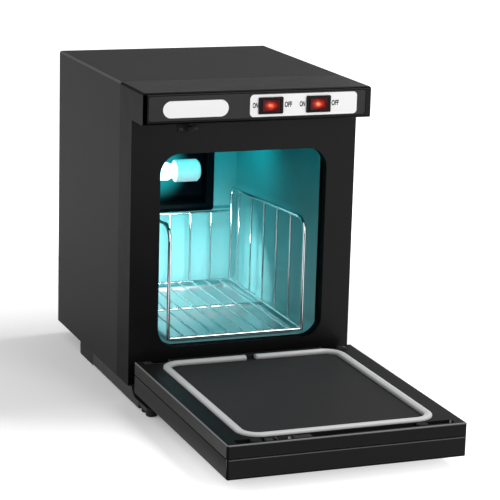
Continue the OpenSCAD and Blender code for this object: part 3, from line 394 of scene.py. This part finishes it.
galvanised = skinned("galvanised", (0.42, 0.43, 0.44), 0.42, grain=120, bump=0.00002, drift=0.5, metallic=1.0)
dressed("bottom_plate", galvanised)

bush_rubber = skinned("bush_rubber", (0.014, 0.014, 0.015), 0.62, grain=1200, bump=0.00004, specular=0.35)
softened("cord_gland", bush_rubber, 0.0004)


# ---------------------------------------------------------------------------------------------
# Front frame: one satin black moulding with the cavity's mouth, the lip round it and the hood
# that overhangs the door. A finely eroded mould gives it a soft sheen.

frame_plastic = skinned("frame_plastic", (0.0040, 0.0040, 0.0042), 0.30, grain=1500, bump=0.000012, specular=0.12)
# Painted light: frame_edge is a painted shade that makes the moulding's rounded edges darker than its faces, and
# frame_flank gives the faces that look sideways a lighter tone and less sheen than the front.
frame_edge = skinned("frame_edge", (0.0015, 0.0015, 0.0016), 0.30, grain=1500, bump=0.000008, specular=0.03)
frame_flank = skinned("frame_flank", (0.009, 0.009, 0.0092), 0.45, grain=1500, bump=0.000012, specular=0.02)


def hood_rim_painted_shade(material, corners):
    """Painted shade inside boxes given by two corners each: the hood's rounded rim, which turns away from the light,
    is made near black and its sheen is damped.
    """
    nodes, links = material.node_tree.nodes, material.node_tree.links
    paint = nodes["Principled BSDF"]
    place, split = nodes.new("ShaderNodeTexCoord"), nodes.new("ShaderNodeSeparateXYZ")
    links.new(place.outputs["Object"], split.inputs[0])
    clear = None
    for low, high in corners:
        inside = None
        for axis, near, far in zip("XYZ", low, high):
            test = nodes.new("ShaderNodeMath")
            test.operation = "COMPARE"
            test.inputs[1].default_value = (near + far) / 2
            test.inputs[2].default_value = (far - near) / 2
            links.new(split.outputs[axis], test.inputs[0])
            if inside is not None:
                both = nodes.new("ShaderNodeMath")
                both.operation = "MULTIPLY"
                links.new(inside, both.inputs[0])
                links.new(test.outputs[0], both.inputs[1])
                test = both
            inside = test.outputs[0]
        left = nodes.new("ShaderNodeMath")
        left.operation = "SUBTRACT"
        left.inputs[0].default_value = 1.0
        links.new(inside, left.inputs[1])
        if clear is not None:
            both = nodes.new("ShaderNodeMath")
            both.operation = "MULTIPLY"
            links.new(clear, both.inputs[0])
            links.new(left.outputs[0], both.inputs[1])
            left = both
        clear = left.outputs[0]
    sheen = nodes.new("ShaderNodeMath")
    sheen.operation = "MULTIPLY"
    sheen.inputs[1].default_value = paint.inputs["Specular IOR Level"].default_value
    links.new(clear, sheen.inputs[0])
    links.new(sheen.outputs[0], paint.inputs["Specular IOR Level"])
    mix = nodes.new("ShaderNodeMix")
    mix.data_type = "RGBA"
    mix.inputs["A"].default_value = (0.0004, 0.0004, 0.0004, 1)
    mix.inputs["B"].default_value = paint.inputs["Base Color"].default_value
    if paint.inputs["Base Color"].is_linked:
        links.new(paint.inputs["Base Color"].links[0].from_socket, mix.inputs["B"])
    links.new(clear, mix.inputs["Factor"])
    links.new(mix.outputs["Result"], paint.inputs["Base Color"])


hood_low, hood_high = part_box("front_frame")
rim_low, rim_high = hood_low[1] - 0.001, hood_low[1] + 0.0015
# Painted shade on the hood's front top edge and its front left corner, which turn away from the light.
hood_rim_painted_shade(frame_plastic, (
    ((hood_low[0] - 0.001, rim_low, hood_high[2] - 0.045), (hood_low[0] + 0.0052, rim_high, hood_high[2] + 0.001)),
    ((hood_low[0] - 0.001, rim_low, hood_high[2] - 0.0020), (hood_high[0] + 0.001, rim_high, hood_high[2] + 0.001)),
))
# Painted shade: the faces inside the mouth are made near black, so that the cavity's cyan light does not show on the
# lip.
mouth_lip_painted_shade = skinned("mouth_lip_painted_shade", (0.002, 0.002, 0.0021), 0.5, grain=1500, bump=0.000008, specular=0.01)
mouth_half_w, mouth_low, mouth_high = 0.0987, 0.0573, 0.2777
softened("front_frame", frame_plastic, 0.0010, steps=3, edge=frame_edge, flank=frame_flank,
         lip=(mouth_half_w, mouth_low, mouth_high, mouth_lip_painted_shade))


# ---------------------------------------------------------------------------------------------
# Control fascia: an inset panel across the hood with a bare label plate, a light plate round
# the two switches, and the words ON and OFF printed beside them.

fascia_plastic = skinned("fascia_plastic", (0.016, 0.016, 0.0165), 0.34, grain=1500, bump=0.000012, specular=0.22)
softened("control_fascia", fascia_plastic, 0.0006)

plate_white = skinned("plate_white", (0.91, 0.91, 0.91), 0.35, grain=1800, bump=0.000006, drift=0.04)
print_grey = skinned("print_grey", (0.004, 0.004, 0.0045), 0.55, grain=2500, bump=0.000004, specular=0.1)
plate_edge_painted_shadow = skinned("plate_edge_painted_shadow", (0.006, 0.006, 0.006), 0.5, grain=2500, bump=0.000004, specular=0.1)
# The plates' rounded edges take a painted shadow: a thin dark outline round each plate.
for plate in ("name_plate", "switch_plate"):
    softened(plate, plate_white, 0.0008, edge=plate_edge_painted_shadow)

fascia_low, fascia_high = (np.array(c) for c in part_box("switch_plate"))
letter_face_y = fascia_low[1] - 0.00003
letter_middle_z = (fascia_low[2] + fascia_high[2]) / 2 + 0.0006


def printed_word(name, word, x_from, x_to, height):
    """Flat word on the switch plate, squeezed to the width between two x values."""
    curve = bpy.data.curves.new(name, "FONT")
    curve.body = word
    curve.offset = 0.035
    drawn = bpy.data.objects.new(name + "_drawn", curve)
    bpy.context.scene.collection.objects.link(drawn)
    bpy.context.view_layer.update()
    mesh = bpy.data.meshes.new_from_object(drawn.evaluated_get(bpy.context.evaluated_depsgraph_get()))
    bpy.data.objects.remove(drawn)
    at = np.empty(len(mesh.vertices) * 3)
    mesh.vertices.foreach_get("co", at)
    at = at.reshape(-1, 3)
    low, high = at.min(0), at.max(0)
    unit = (at - low) / np.where(high - low > 0, high - low, 1)
    placed = np.column_stack([
        x_from + unit[:, 0] * (x_to - x_from),
        np.full(len(at), letter_face_y),
        letter_middle_z + (unit[:, 1] - 0.5) * height])
    mesh.vertices.foreach_set("co", placed.ravel())
    mesh.name = name
    mesh.materials.clear()
    mesh.materials.append(print_grey)
    mesh.update()
    letters = bpy.data.objects.new(name, mesh)
    bpy.context.scene.collection.objects.link(letters)
    thick = letters.modifiers.new("ink", "SOLIDIFY")
    thick.thickness = 0.00005
    thick.offset = 0
    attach(letters, "root")
    return letters


for index, (x_on, x_off) in enumerate(((-0.0078, 0.0296), (0.0472, 0.0850))):
    printed_word(f"word_on_{index}", "ON", x_on, x_on + 0.0064, 0.0060)
    printed_word(f"word_off_{index}", "OFF", x_off, x_off + 0.0086, 0.0060)


# ---------------------------------------------------------------------------------------------
# Switches: black snap-in housings with red lit rockers. A neon behind each rocker makes a hot
# orange spot in the middle that fades to deep red at the rim.

switch_black = skinned("switch_black", (0.005, 0.005, 0.0055), 0.42, grain=1600, bump=0.00001, specular=0.10)
for housing in ("heat_switch_housing", "uv_switch_housing"):
    softened(housing, switch_black, 0.0003)


def lit_rocker(name, node):
    """Red plastic whose glow falls off from a spot at the middle of the rocker's face."""
    low, high = (np.array(c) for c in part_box(node))
    middle = (low + high) / 2
    material = skinned(name, (0.060, 0.0018, 0.0014), 0.16, grain=2200, bump=0.000004, coat=0.0, specular=0.15)
    nodes, links = material.node_tree.nodes, material.node_tree.links
    paint = nodes["Principled BSDF"]
    place = nodes.new("ShaderNodeTexCoord")
    centre = nodes.new("ShaderNodeMapping")
    centre.vector_type = "POINT"
    centre.inputs["Location"].default_value = (-middle[0] + 0.0010, -middle[1], -middle[2])
    wobble = nodes.new("ShaderNodeTexNoise")
    wobble.inputs["Scale"].default_value = 260.0
    wobble.inputs["Detail"].default_value = 3.0
    stretch = nodes.new("ShaderNodeVectorMath")
    stretch.operation = "MULTIPLY"
    stretch.inputs[1].default_value = (1.0, 0.0, 1.35)
    length = nodes.new("ShaderNodeVectorMath")
    length.operation = "LENGTH"
    uneven = nodes.new("ShaderNodeMath")
    uneven.operation = "MULTIPLY_ADD"
    uneven.inputs[1].default_value = 0.0045
    links.new(place.outputs["Object"], centre.inputs["Vector"])
    links.new(place.outputs["Object"], wobble.inputs["Vector"])
    links.new(centre.outputs[0], stretch.inputs[0])
    links.new(stretch.outputs[0], length.inputs[0])
    links.new(wobble.outputs["Fac"], uneven.inputs[0])
    links.new(length.outputs["Value"], uneven.inputs[2])
    ramp = nodes.new("ShaderNodeValToRGB")
    ramp.color_ramp.elements[0].position = 0.18
    ramp.color_ramp.elements[0].color = (1.0, 0.62, 0.30, 1)
    ramp.color_ramp.elements[1].position = 0.95
    ramp.color_ramp.elements[1].color = (0.022, 0.0004, 0.0004, 1)
    hot = ramp.color_ramp.elements.new(0.42)
    hot.color = (0.92, 0.13, 0.05, 1)
    red = ramp.color_ramp.elements.new(0.62)
    red.color = (0.40, 0.016, 0.011, 1)
    scale = nodes.new("ShaderNodeMath")
    scale.operation = "MULTIPLY"
    scale.inputs[1].default_value = 95.0
    links.new(uneven.outputs[0], scale.inputs[0])
    links.new(scale.outputs[0], ramp.inputs["Fac"])
    links.new(ramp.outputs["Color"], paint.inputs["Emission Color"])
    paint.inputs["Emission Strength"].default_value = 1.0
    return material


for rocker in ("heat_rocker", "uv_rocker"):
    softened(rocker, lit_rocker(rocker + "_red", rocker), 0.0005, steps=3)

neon_glass = skinned("neon_glass", (0.9, 0.35, 0.08), 0.2, grain=2000, bump=0.000004)
dressed("pilot_lamps", neon_glass)
tab_brass = skinned("tab_brass", (0.62, 0.45, 0.18), 0.35, grain=1500, bump=0.00001, metallic=1.0)
dressed("switch_tabs", tab_brass)


# ---------------------------------------------------------------------------------------------
# Cavity liner: a pressed aluminium tank with tapered walls, washed over by the lamp's cyan
# light, which is painted into the metal's colour. Its metal carries fine rolling lines from front to back.

def brushed(name, tone, roughness, stretch, metallic=1.0, bump=0.00001, specular=0.5):
    """Metal whose fine lines run along the axis that is stretched least."""
    material = skinned(name, tone, roughness, grain=60, bump=bump, metallic=metallic, drift=0.12, specular=specular)
    nodes, links = material.node_tree.nodes, material.node_tree.links
    place = nodes.new("ShaderNodeTexCoord")
    squeeze = nodes.new("ShaderNodeMapping")
    squeeze.inputs["Scale"].default_value = stretch
    lines = nodes.new("ShaderNodeTexNoise")
    lines.inputs["Scale"].default_value = 100.0
    lines.inputs["Detail"].default_value = 3.0
    links.new(place.outputs["Object"], squeeze.inputs["Vector"])
    links.new(squeeze.outputs[0], lines.inputs["Vector"])
    relief = next(n for n in nodes if n.type == "BUMP")
    links.new(lines.outputs["Fac"], relief.inputs["Height"])
    return material


# Painted light: the liner's cyan colour is the lamp's light, painted into the metal, paler towards the floor. Its
# front flange is painted shade, made black behind the mouth's lip.
liner_sheet = brushed("liner_sheet", (0.10, 0.42, 0.44), 0.42, (14, 0.4, 14), metallic=0.1, specular=0.05)
liner_low, liner_high = (np.array(c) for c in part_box("cavity_liner"))


def liner_painted_light_and_shade(material, low, high):
    """Paints the lamp's light into the liner: a cyan tone that grows paler towards its floor, where the light pools,
    and a painted shade that makes the front flange behind the mouth's lip black.
    """
    nodes, links = material.node_tree.nodes, material.node_tree.links
    paint = nodes["Principled BSDF"]
    place = nodes.new("ShaderNodeTexCoord")
    parts = nodes.new("ShaderNodeSeparateXYZ")
    links.new(place.outputs["Object"], parts.inputs[0])
    height = nodes.new("ShaderNodeMapRange")
    height.inputs["From Min"].default_value = low[2]
    height.inputs["From Max"].default_value = high[2]
    links.new(parts.outputs["Z"], height.inputs["Value"])
    tone = nodes.new("ShaderNodeValToRGB")
    tone.color_ramp.elements[0].position = 0.10
    tone.color_ramp.elements[0].color = (0.26, 0.52, 0.54, 1)
    tone.color_ramp.elements[1].position = 0.85
    tone.color_ramp.elements[1].color = (0.002, 0.26, 0.28, 1)
    links.new(height.outputs["Result"], tone.inputs["Fac"])
    flange = nodes.new("ShaderNodeMath")
    flange.operation = "GREATER_THAN"
    flange.inputs[1].default_value = low[1] + 0.0012
    links.new(parts.outputs["Y"], flange.inputs[0])
    masked = nodes.new("ShaderNodeMix")
    masked.data_type = "RGBA"
    masked.inputs["A"].default_value = (0.003, 0.003, 0.003, 1)
    links.new(flange.outputs[0], masked.inputs["Factor"])
    links.new(tone.outputs["Color"], masked.inputs["B"])
    links.new(masked.outputs["Result"], paint.inputs["Base Color"])


liner_painted_light_and_shade(liner_sheet, liner_low, liner_high)
dressed("cavity_liner", liner_sheet)

tray_sheet = brushed("tray_sheet", (0.62, 0.65, 0.66), 0.3, (10, 0.4, 10))
softened("drip_tray", tray_sheet, 0.0003)


# ---------------------------------------------------------------------------------------------
# Lamp: a black pan behind a window in the liner's rear wall holds a white socket, whose lamp
# lies across the cavity and lights it cyan.

# The pan's faint cyan tint and its halo are painted lamp light.
recess_black = skinned("recess_black", (0.0008, 0.0030, 0.0045), 0.3, grain=1500, bump=0.000008, specular=0.03)
lamp_low, lamp_high = (np.array(c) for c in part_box("uv_lamp"))


def haloed(material, centre, colour, reach):
    """Paints the lamp's halo onto a black surface: a painted glow, given as emission, that falls off around a point
    of the wall.
    """
    nodes, links = material.node_tree.nodes, material.node_tree.links
    paint = nodes["Principled BSDF"]
    place = nodes.new("ShaderNodeTexCoord")
    away = nodes.new("ShaderNodeVectorMath")
    away.operation = "DISTANCE"
    away.inputs[1].default_value = centre
    links.new(place.outputs["Object"], away.inputs[0])
    fall = nodes.new("ShaderNodeMapRange")
    fall.interpolation_type = "SMOOTHERSTEP"
    fall.inputs["From Min"].default_value = reach
    fall.inputs["From Max"].default_value = reach * 0.3
    links.new(away.outputs["Value"], fall.inputs["Value"])
    paint.inputs["Emission Color"].default_value = (*colour, 1)
    links.new(fall.outputs["Result"], paint.inputs["Emission Strength"])


haloed(recess_black, ((lamp_low + lamp_high) / 2 + (0.0, 0.012, 0.0)).tolist(), (0.01, 0.34, 0.37), 0.046)
softened("lamp_recess", recess_black, 0.0005)

# The socket's cyan tint and faint glow are painted lamp light; its plastic is white.
socket_white = skinned("socket_white", (0.66, 0.84, 0.85), 0.3, grain=1500, bump=0.000008, drift=0.05)
socket_paint = socket_white.node_tree.nodes["Principled BSDF"]
socket_paint.inputs["Emission Color"].default_value = (0.45, 0.95, 1.0, 1)
socket_paint.inputs["Emission Strength"].default_value = 0.16
softened("lamp_holder", socket_white, 0.0008, steps=3)

lamp_glow = skinned("lamp_glow", (0.6, 0.95, 1.0), 0.15, grain=1500, bump=0.000002, drift=0.02)
lamp_paint = lamp_glow.node_tree.nodes["Principled BSDF"]
lamp_paint.inputs["Emission Color"].default_value = (0.62, 0.97, 1.0, 1)
lamp_paint.inputs["Emission Strength"].default_value = 3.0
softened("uv_lamp", lamp_glow, 0.0006, steps=3)

def strip_light(name, place, aim, wide, high, watts, colour):
    """Narrow rectangular lamp inside the cavity, facing a point on its wall."""
    lamp = bpy.data.lights.new(name, "AREA")
    lamp.shape = "RECTANGLE"
    lamp.size = wide
    lamp.size_y = high
    lamp.energy = watts
    lamp.color = colour
    holder = bpy.data.objects.new(name, lamp)
    towards = Vector(aim) - Vector(place)
    holder.matrix_world = Matrix.Translation(place) @ towards.to_track_quat("-Z", "Y").to_matrix().to_4x4()
    bpy.context.scene.collection.objects.link(holder)


rear_y = liner_high[1] - 0.01
strip_light("glow_above", (0.01, rear_y - 0.075, liner_high[2] - 0.014),
            (0.03, rear_y, liner_low[2] + 0.12), 0.12, 0.01, 0.13, (0.10, 0.92, 0.97))
strip_light("glow_below", (0.0, rear_y - 0.08, liner_low[2] + 0.075),
            (0.01, rear_y, liner_low[2] + 0.01), 0.12, 0.008, 0.20, (0.80, 1.0, 1.0))


# ---------------------------------------------------------------------------------------------
# Wire basket: welded from bright drawn wire, two arched sides, a rear rail and a floor of close
# wires. Each wire is a round tube along its own bent path.

basket_chrome = skinned("basket_chrome", (0.64, 0.67, 0.68), 0.14, grain=1500, bump=0.000004, metallic=1.0)
for grid in ("basket_sides", "basket_floor", "basket_rear"):
    dressed(grid, basket_chrome)


# ---------------------------------------------------------------------------------------------
# Base and feet: a moulded deck with skirts and a toe that curls under the door, standing on
# rubber feet.

base_plastic = skinned("base_plastic", (0.010, 0.010, 0.0105), 0.42, grain=1400, bump=0.000016, specular=0.15)
softened("base_frame", base_plastic, 0.0006)
foot_rubber = skinned("foot_rubber", (0.008, 0.008, 0.0085), 0.7, grain=900, bump=0.00004, specular=0.25)
for feet in ("front_feet", "rear_feet"):
    softened(feet, foot_rubber, 0.0005)


# ---------------------------------------------------------------------------------------------
# Hinges: bent steel arms on the front face carry the pins of two folded saddles in the door.
# The catch's spear-headed tongue is fixed under the hood.

hinge_steel = brushed("hinge_steel", (0.20, 0.20, 0.205), 0.3, (0.5, 12, 12))
for part in ("hinge_brackets", "hinge_leaves"):
    softened(part, hinge_steel, 0.00025)
pin_steel = skinned("pin_steel", (0.24, 0.24, 0.245), 0.25, grain=1500, bump=0.000004, metallic=1.0)
dressed("hinge_pins", pin_steel)


# ---------------------------------------------------------------------------------------------
# Door: an outer cover and an inner frame meet at a fine seam; the frame's rim carries a painted
# highlight along its rounded edge, and a dark flat panel fills the field.

door_plastic = skinned("door_plastic", (0.010, 0.010, 0.0103), 0.34, grain=1400, bump=0.000012, specular=0.05)
inner_plastic = skinned("inner_plastic", (0.009, 0.009, 0.0093), 0.34, grain=1400, bump=0.000012, specular=0.012)
# door_edge paints a highlight on the door's rounded edges where they look up, and shade where they look sideways or
# down.
door_edge = lit_edge("door_edge", (0.17, 0.17, 0.172), 0.003, 0.30, 0.03)
shell_side, _, seam_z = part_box("door_shell")[1]


def seamed(material, height):
    """Dark line where the two halves meet, and below it, on the front end, a painted highlight: a thin light line
    that stands in for a lip catching light.
    """
    nodes, links = material.node_tree.nodes, material.node_tree.links
    paint = nodes["Principled BSDF"]
    place, split, facing = (nodes.new(kind) for kind in
                            ("ShaderNodeTexCoord", "ShaderNodeSeparateXYZ", "ShaderNodeSeparateXYZ"))
    links.new(place.outputs["Object"], split.inputs[0])
    links.new(place.outputs["Normal"], facing.inputs[0])
    ends = nodes.new("ShaderNodeMath")
    ends.operation = "LESS_THAN"
    ends.inputs[1].default_value = -0.9
    links.new(facing.outputs["Y"], ends.inputs[0])
    colour = paint.inputs["Base Color"].links[0].from_socket if paint.inputs["Base Color"].is_linked else None
    # The second band is a painted highlight on the front end.
    for middle, half, shade, only_ends in ((height, 0.0006, 0.0003, False), (height - 0.0011, 0.0005, 0.09, True)):
        line = nodes.new("ShaderNodeMath")
        line.operation = "COMPARE"
        line.inputs[1].default_value = middle
        line.inputs[2].default_value = half
        links.new(split.outputs["Z"], line.inputs[0])
        amount = line.outputs[0]
        if only_ends:
            both = nodes.new("ShaderNodeMath")
            both.operation = "MULTIPLY"
            links.new(amount, both.inputs[0])
            links.new(ends.outputs[0], both.inputs[1])
            amount = both.outputs[0]
        mix = nodes.new("ShaderNodeMix")
        mix.data_type = "RGBA"
        mix.inputs["A"].default_value = paint.inputs["Base Color"].default_value
        mix.inputs["B"].default_value = (shade, shade, shade, 1)
        if colour is not None:
            links.new(colour, mix.inputs["A"])
        links.new(amount, mix.inputs["Factor"])
        colour = mix.outputs["Result"]
        if not only_ends:
            sheen = paint.inputs["Specular IOR Level"]
            fade = nodes.new("ShaderNodeMath")
            fade.operation = "MULTIPLY_ADD"
            fade.inputs[1].default_value = -1.0
            fade.inputs[2].default_value = 1.0
            links.new(amount, fade.inputs[0])
            damp = nodes.new("ShaderNodeMath")
            damp.operation = "MULTIPLY"
            damp.inputs[1].default_value = sheen.default_value
            if sheen.is_linked:
                links.new(sheen.links[0].from_socket, damp.inputs[1])
            links.new(fade.outputs[0], damp.inputs[0])
            links.new(damp.outputs[0], sheen)
    links.new(colour, paint.inputs["Base Color"])


seamed(door_plastic, seam_z)
softened("door_shell", door_plastic, 0.0009, edge=door_edge, seam=(seam_z, shell_side - 0.0005))
# Painted sheen on the inner frame: less sheen where its faces look up, more where they look sideways.
inner_tree = inner_plastic.node_tree
inner_facing = inner_tree.nodes.new("ShaderNodeTexCoord")
inner_split = inner_tree.nodes.new("ShaderNodeSeparateXYZ")
inner_sheen = inner_tree.nodes.new("ShaderNodeMath")
inner_sheen.operation = "MULTIPLY_ADD"
inner_sheen.inputs[1].default_value = -0.040
inner_sheen.inputs[2].default_value = 0.052
inner_tree.links.new(inner_facing.outputs["Normal"], inner_split.inputs[0])
inner_tree.links.new(inner_split.outputs["Z"], inner_sheen.inputs[0])
inner_tree.links.new(inner_sheen.outputs[0], inner_tree.nodes["Principled BSDF"].inputs["Specular IOR Level"])
seamed(inner_plastic, seam_z)
softened("door_inner_frame", inner_plastic, 0.0007, edge=door_edge, seam=(seam_z, 0.0))
panel_finish = skinned("panel_finish", (0.026, 0.026, 0.0265), 0.5, grain=900, bump=0.00002, specular=0.008)
softened("door_liner", panel_finish, 0.0003)
foam = skinned("foam", (0.78, 0.74, 0.62), 0.9, grain=500, bump=0.0002)
dressed("door_insulation", foam)
bumper_rubber = skinned("bumper_rubber", (0.008, 0.008, 0.0085), 0.6, grain=900, bump=0.00003, specular=0.06)
softened("door_bumpers", bumper_rubber, 0.0004)
softened("catch_block", powder_coat, 0.0003)
softened("catch_tongue", powder_coat, 0.0003)
bright_spring = skinned("bright_spring", (0.80, 0.80, 0.81), 0.2, grain=1500, bump=0.000004, metallic=1.0)
dressed("catch_springs", bright_spring)


# ---------------------------------------------------------------------------------------------
# Door gasket: grey silicone extrusion, laid as a loop whose two ends meet at the middle of the
# hinge side. Its crowned band has a shallow groove near the inside.

gasket_low, gasket_high = (np.array(c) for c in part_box("door_gasket"))
band = 0.009
half_x = (gasket_high[0] - gasket_low[0]) / 2 - band / 2
mid_y = (gasket_high[1] + gasket_low[1]) / 2
half_y = (gasket_high[1] - gasket_low[1]) / 2 - band / 2
bend_r = 0.024 - band / 2
end_gap = 0.006


def loop_path(per_bend=14, along=24):
    """Centre line of the loop with its outward directions: straight sides and quarter-circle corners."""
    left, right = -half_x + bend_r, half_x - bend_r
    rear, front = mid_y + half_y - bend_r, mid_y - half_y + bend_r
    t = np.linspace(0, 1, along, endpoint=False)[:, None]
    a = np.linspace(0, 1, per_bend, endpoint=False)

    def straight(p, q, n):
        return np.array(p) * (1 - t) + np.array(q) * t, np.repeat([n], along, 0).astype(float)

    def bent(c, start):
        turn_by = math.radians(start) - a * math.pi / 2
        out = np.column_stack([np.cos(turn_by), np.sin(turn_by)])
        return np.array(c) + bend_r * out, out

    pieces = [
        straight((end_gap, mid_y + half_y), (right, mid_y + half_y), (0, 1)), bent((right, rear), 90),
        straight((half_x, rear), (half_x, front), (1, 0)), bent((right, front), 0),
        straight((right, mid_y - half_y), (left, mid_y - half_y), (0, -1)), bent((left, front), -90),
        straight((-half_x, front), (-half_x, rear), (-1, 0)), bent((left, rear), -180),
        straight((left, mid_y + half_y), (-end_gap, mid_y + half_y), (0, 1))]
    at = np.concatenate([p[0] for p in pieces] + [np.array([[-end_gap, mid_y + half_y]])])
    out = np.concatenate([p[1] for p in pieces] + [np.array([[0.0, 1.0]])])
    return at, out


def gasket_profile():
    """Half-round band on a flat foot: across from -1 to 1, height by a flattened circle with a groove near the inside."""
    s = np.linspace(-1, 1, 27)
    crown = np.clip(1 - np.abs(s) ** 5, 0, 1) ** 0.5 * (1 - 0.16 * s**2)
    groove = 0.13 * np.exp(-((s + 0.38) / 0.10) ** 2)
    height = 0.30 + 0.70 * crown - groove
    height[[0, -1]] = 0.0
    across = np.concatenate([s, [0.995, -0.995]])
    rise = np.concatenate([height, [0.0, 0.0]])
    return across[:-2] * band / 2, rise[:-2] * (gasket_high[2] - gasket_low[2])


loop_at, loop_out = loop_path()
across, rise = gasket_profile()
rows, cols = len(loop_at), len(across)
grid = np.empty((rows, cols, 3))
grid[..., :2] = loop_at[:, None] + across[None, :, None] * loop_out[:, None]
grid[..., 2] = gasket_low[2] + rise[None]
quad_row = np.arange(rows - 1)[:, None] * cols
quad_col = np.arange(cols)[None]
quad_next = (quad_col + 1) % cols
gasket_faces = np.stack([quad_row + quad_col, quad_row + quad_next, quad_row + cols + quad_next,
                         quad_row + cols + quad_col], -1).reshape(-1, 4).tolist()
gasket_faces += [list(range(cols)), list(range(rows * cols - 1, (rows - 1) * cols - 1, -1))]
gasket_mesh = bpy.data.meshes.new("gasket_loop")
gasket_mesh.from_pydata(grid.reshape(-1, 3).tolist(), [], gasket_faces)
gasket_shape = bmesh.new()
gasket_shape.from_mesh(gasket_mesh)
bmesh.ops.recalc_face_normals(gasket_shape, faces=gasket_shape.faces)
for face in gasket_shape.faces:
    face.smooth = len(face.verts) == 4
gasket_shape.to_mesh(gasket_mesh)
gasket_shape.free()
silicone = skinned("grey_silicone", (0.44, 0.44, 0.435), 0.48, grain=300, bump=0.00003, drift=0.18)
gasket_mesh.materials.append(silicone)
gasket = bpy.data.objects.new("gasket_loop", gasket_mesh)
bpy.context.scene.collection.objects.link(gasket)
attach(gasket, "door")
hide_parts("door_gasket")


# ---------------------------------------------------------------------------------------------
# Inner works: heater, thermostat, fuse, wool, choke and terminals, closed in by the casing.

dressed("heater_plate", galvanised)
heater_rubber = skinned("heater_rubber", (0.35, 0.09, 0.04), 0.55, grain=400, bump=0.00004)
dressed("heater_pad", heater_rubber)
resin = skinned("brown_resin", (0.10, 0.05, 0.03), 0.4, grain=900, bump=0.00002)
dressed("thermostat", resin)
sleeve = skinned("fuse_sleeve", (0.70, 0.66, 0.56), 0.6, grain=900, bump=0.00004)
dressed("thermal_fuse", sleeve)
wool = skinned("glass_wool", (0.62, 0.52, 0.18), 0.95, grain=350, bump=0.0004, drift=0.4)
for blanket in ("liner_insulation", "floor_insulation"):
    dressed(blanket, wool)
lamination = brushed("choke_steel", (0.35, 0.35, 0.36), 0.45, (1, 30, 1))
dressed("lamp_ballast", lamination)
terminal_nylon = skinned("terminal_nylon", (0.72, 0.70, 0.62), 0.5, grain=900, bump=0.00002)
dressed("terminal_block", terminal_nylon)
